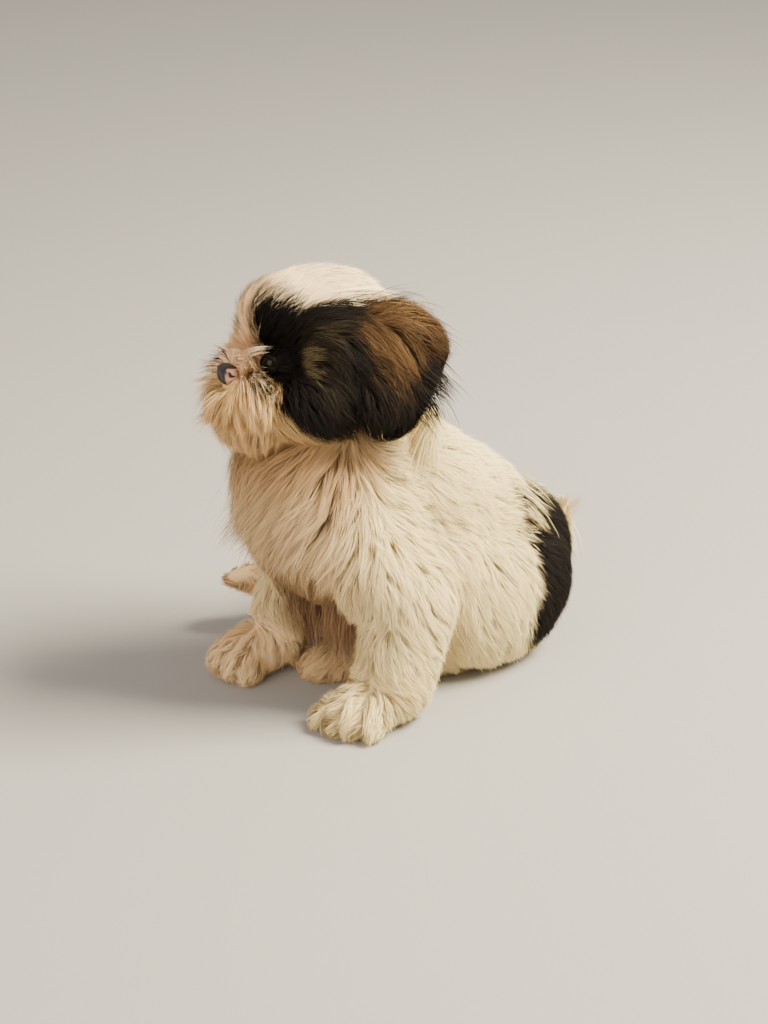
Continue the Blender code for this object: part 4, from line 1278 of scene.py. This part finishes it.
# Loose wisps that stand clear of the coat: each has its root, middle and tip, how many tufts it
# has, how far they spread, how much they gather, and its colour. The first list is in the head.
HEAD_WISPS = (
    ((-3.95, -0.75, 0.85), (-3.75, -1.3, 1.45), (-3.1, -2.0, 1.35), 26, 0.22, 0.3, CROWN_WHITE),
    ((-3.85, -0.95, 0.95), (-3.8, -1.45, 0.5), (-3.6, -1.7, 0.1), 20, 0.2, 0.3, FOREHEAD),
    ((-3.7, -1.7, -0.1), (-3.45, -2.2, -0.4), (-2.95, -2.65, -0.95), 60, 0.34, 0.5, CROWN_WHITE),
    ((0.2, -1.9, 3.0), (1.4, -2.2, 3.3), (2.9, -2.8, 2.8), 260, 0.5, 0.7, CROWN_WHITE),
    ((-2.9, -0.9, 2.7), (-2.7, -0.7, 3.3), (-2.1, -0.5, 3.95), 50, 0.35, 0.3, BLACK),
    ((-2.5, -1.4, 2.5), (-2.2, -1.3, 3.2), (-1.5, -1.0, 3.75), 60, 0.45, 0.3, BLACK),
    ((-1.8, -1.8, 2.6), (-1.5, -1.8, 3.1), (-0.7, -1.6, 3.45), 60, 0.45, 0.3, BLACK),
    ((3.0, -3.7, -0.2), (3.9, -4.1, -1.0), (4.6, -4.2, -2.0), 190, 0.9, 0.45, BLACK),
    ((2.9, -3.6, -1.2), (3.6, -4.0, -2.2), (3.9, -4.0, -3.4), 150, 0.9, 0.35, BLACK),
    ((3.0, -3.5, 1.3), (3.9, -3.8, 0.9), (4.7, -4.0, 0.1), 150, 0.8, 0.3, RUST),
    ((2.6, -3.1, 2.2), (3.5, -3.3, 2.2), (4.4, -3.6, 1.6), 120, 0.7, 0.3, AMBER),
    ((1.8, -2.9, 2.4), (2.8, -3.0, 2.8), (3.8, -3.2, 2.6), 90, 0.6, 0.3, RUST),
)
BODY_WISPS = (
    ((-1.6, -2.3, 12.3), (-1.6, -2.9, 13.9), (-1.0, -3.1, 15.0), 480, 1.3, 0.92, WHITE),
    ((9.5, 0.4, 4.9), (9.9, 0.1, 5.8), (9.4, -0.5, 6.6), 44, 0.35, 0.4, CROWN_WHITE),
    ((9.7, 0.3, 4.9), (10.3, -0.1, 5.4), (10.5, -0.6, 6.2), 40, 0.35, 0.4, CROWN_WHITE),
    ((9.7, 0.3, 4.6), (10.3, -0.2, 3.5), (10.0, -0.6, 2.4), 60, 0.4, 0.2, CROWN_WHITE),
    ((4.3, -2.6, 8.9), (5.3, -2.5, 8.2), (6.1, -2.4, 7.3), 36, 0.5, 0.2, BLACK),
    ((4.1, -3.6, 7.7), (5.1, -3.5, 6.9), (5.7, -3.4, 5.9), 36, 0.5, 0.2, BLACK),
    ((4.4, -3.7, 8.2), (5.6, -3.6, 7.0), (6.4, -3.4, 5.4), 50, 0.4, 0.3, WHITE),
    ((4.0, -4.2, 6.4), (5.2, -4.1, 5.2), (5.9, -3.9, 3.9), 50, 0.4, 0.3, WHITE),
    ((3.9, -4.3, 4.6), (4.9, -4.3, 3.4), (5.4, -4.2, 2.4), 50, 0.4, 0.3, WHITE),
    ((4.4, -2.6, 9.1), (5.7, -2.6, 8.1), (6.7, -2.5, 6.9), 50, 0.4, 0.3, WHITE),
    # Locks hanging from the chest, rosy and deepened with painted shade.
    ((-7.6, 1.0, 11.0), (-8.6, 1.6, 9.9), (-9.0, 2.1, 8.6), 160, 1.1, 0.3, ROSY_SHADE),
    ((-7.4, 2.2, 9.6), (-8.2, 3.0, 8.6), (-8.5, 3.7, 7.2), 160, 1.1, 0.3, ROSY_SHADE),
    ((-7.6, 0.0, 9.6), (-8.5, 0.2, 8.4), (-8.7, 0.4, 7.1), 160, 1.1, 0.3, ROSY_SHADE),
    # A curtain of hair between the forelegs, dark brown with painted shade.
    ((-4.6, 2.0, 4.7), (-4.9, 1.8, 3.4), (-4.7, 1.6, 1.7), 420, 1.5, 0.2, SHADE_BROWN),
    ((-4.4, 0.6, 4.8), (-5.0, 0.4, 3.9), (-4.6, 0.3, 2.7), 420, 1.5, 0.2, SHADE_BROWN),
    ((-4.6, -0.8, 5.0), (-5.2, -1.0, 4.1), (-4.9, -1.1, 2.9), 420, 1.5, 0.2, SHADE_BROWN),
)
WISP_POINTS = 4
strands = []
for listed, place, sides in ((HEAD_WISPS, HEAD_PLACE, (1, -1)), (BODY_WISPS, Matrix.Identity(4), (1,))):
    for *line, count, spread, gather, tint in listed:
        for side in sides:
            first, second, third = (np.array(place @ Vector((x, side * y, z))) for x, y, z in line)
            offset = random.normal(0, 0.5, (count, 1, 3)) * spread
            reach = random.uniform(0.75, 1.05, (count, 1, 1))
            step = np.linspace(0, 1, WISP_POINTS)[None, :, None] * reach
            curve = (1 - step) ** 2 * first + 2 * step * (1 - step) * second + step**2 * third
            stray = random.normal(0, 0.05 + 0.12 * spread, (count, 1, 3)) * step**2
            curve = curve + offset * (1 - gather * step) + stray
            strands.append((curve, np.tile(tint, (count, 1))))
spine = np.concatenate([curve for curve, _ in strands])
tints = np.concatenate([tint for _, tint in strands])
near = np.array([guide_finder.find(root)[1] for root in spine[:, 0]])
upright = np.repeat(guide_up[near, :1], WISP_POINTS, axis=1)
wide = random.uniform(0.024, 0.038, len(spine))
luck = random.uniform(0.2, 1.0, len(spine))
wisps = tuft_mesh("coat_wisps", spine, upright, wide, guide_patch[near], tints, luck, random)
wisps.data.materials.append(hair)
finished(wisps, "white_coat")
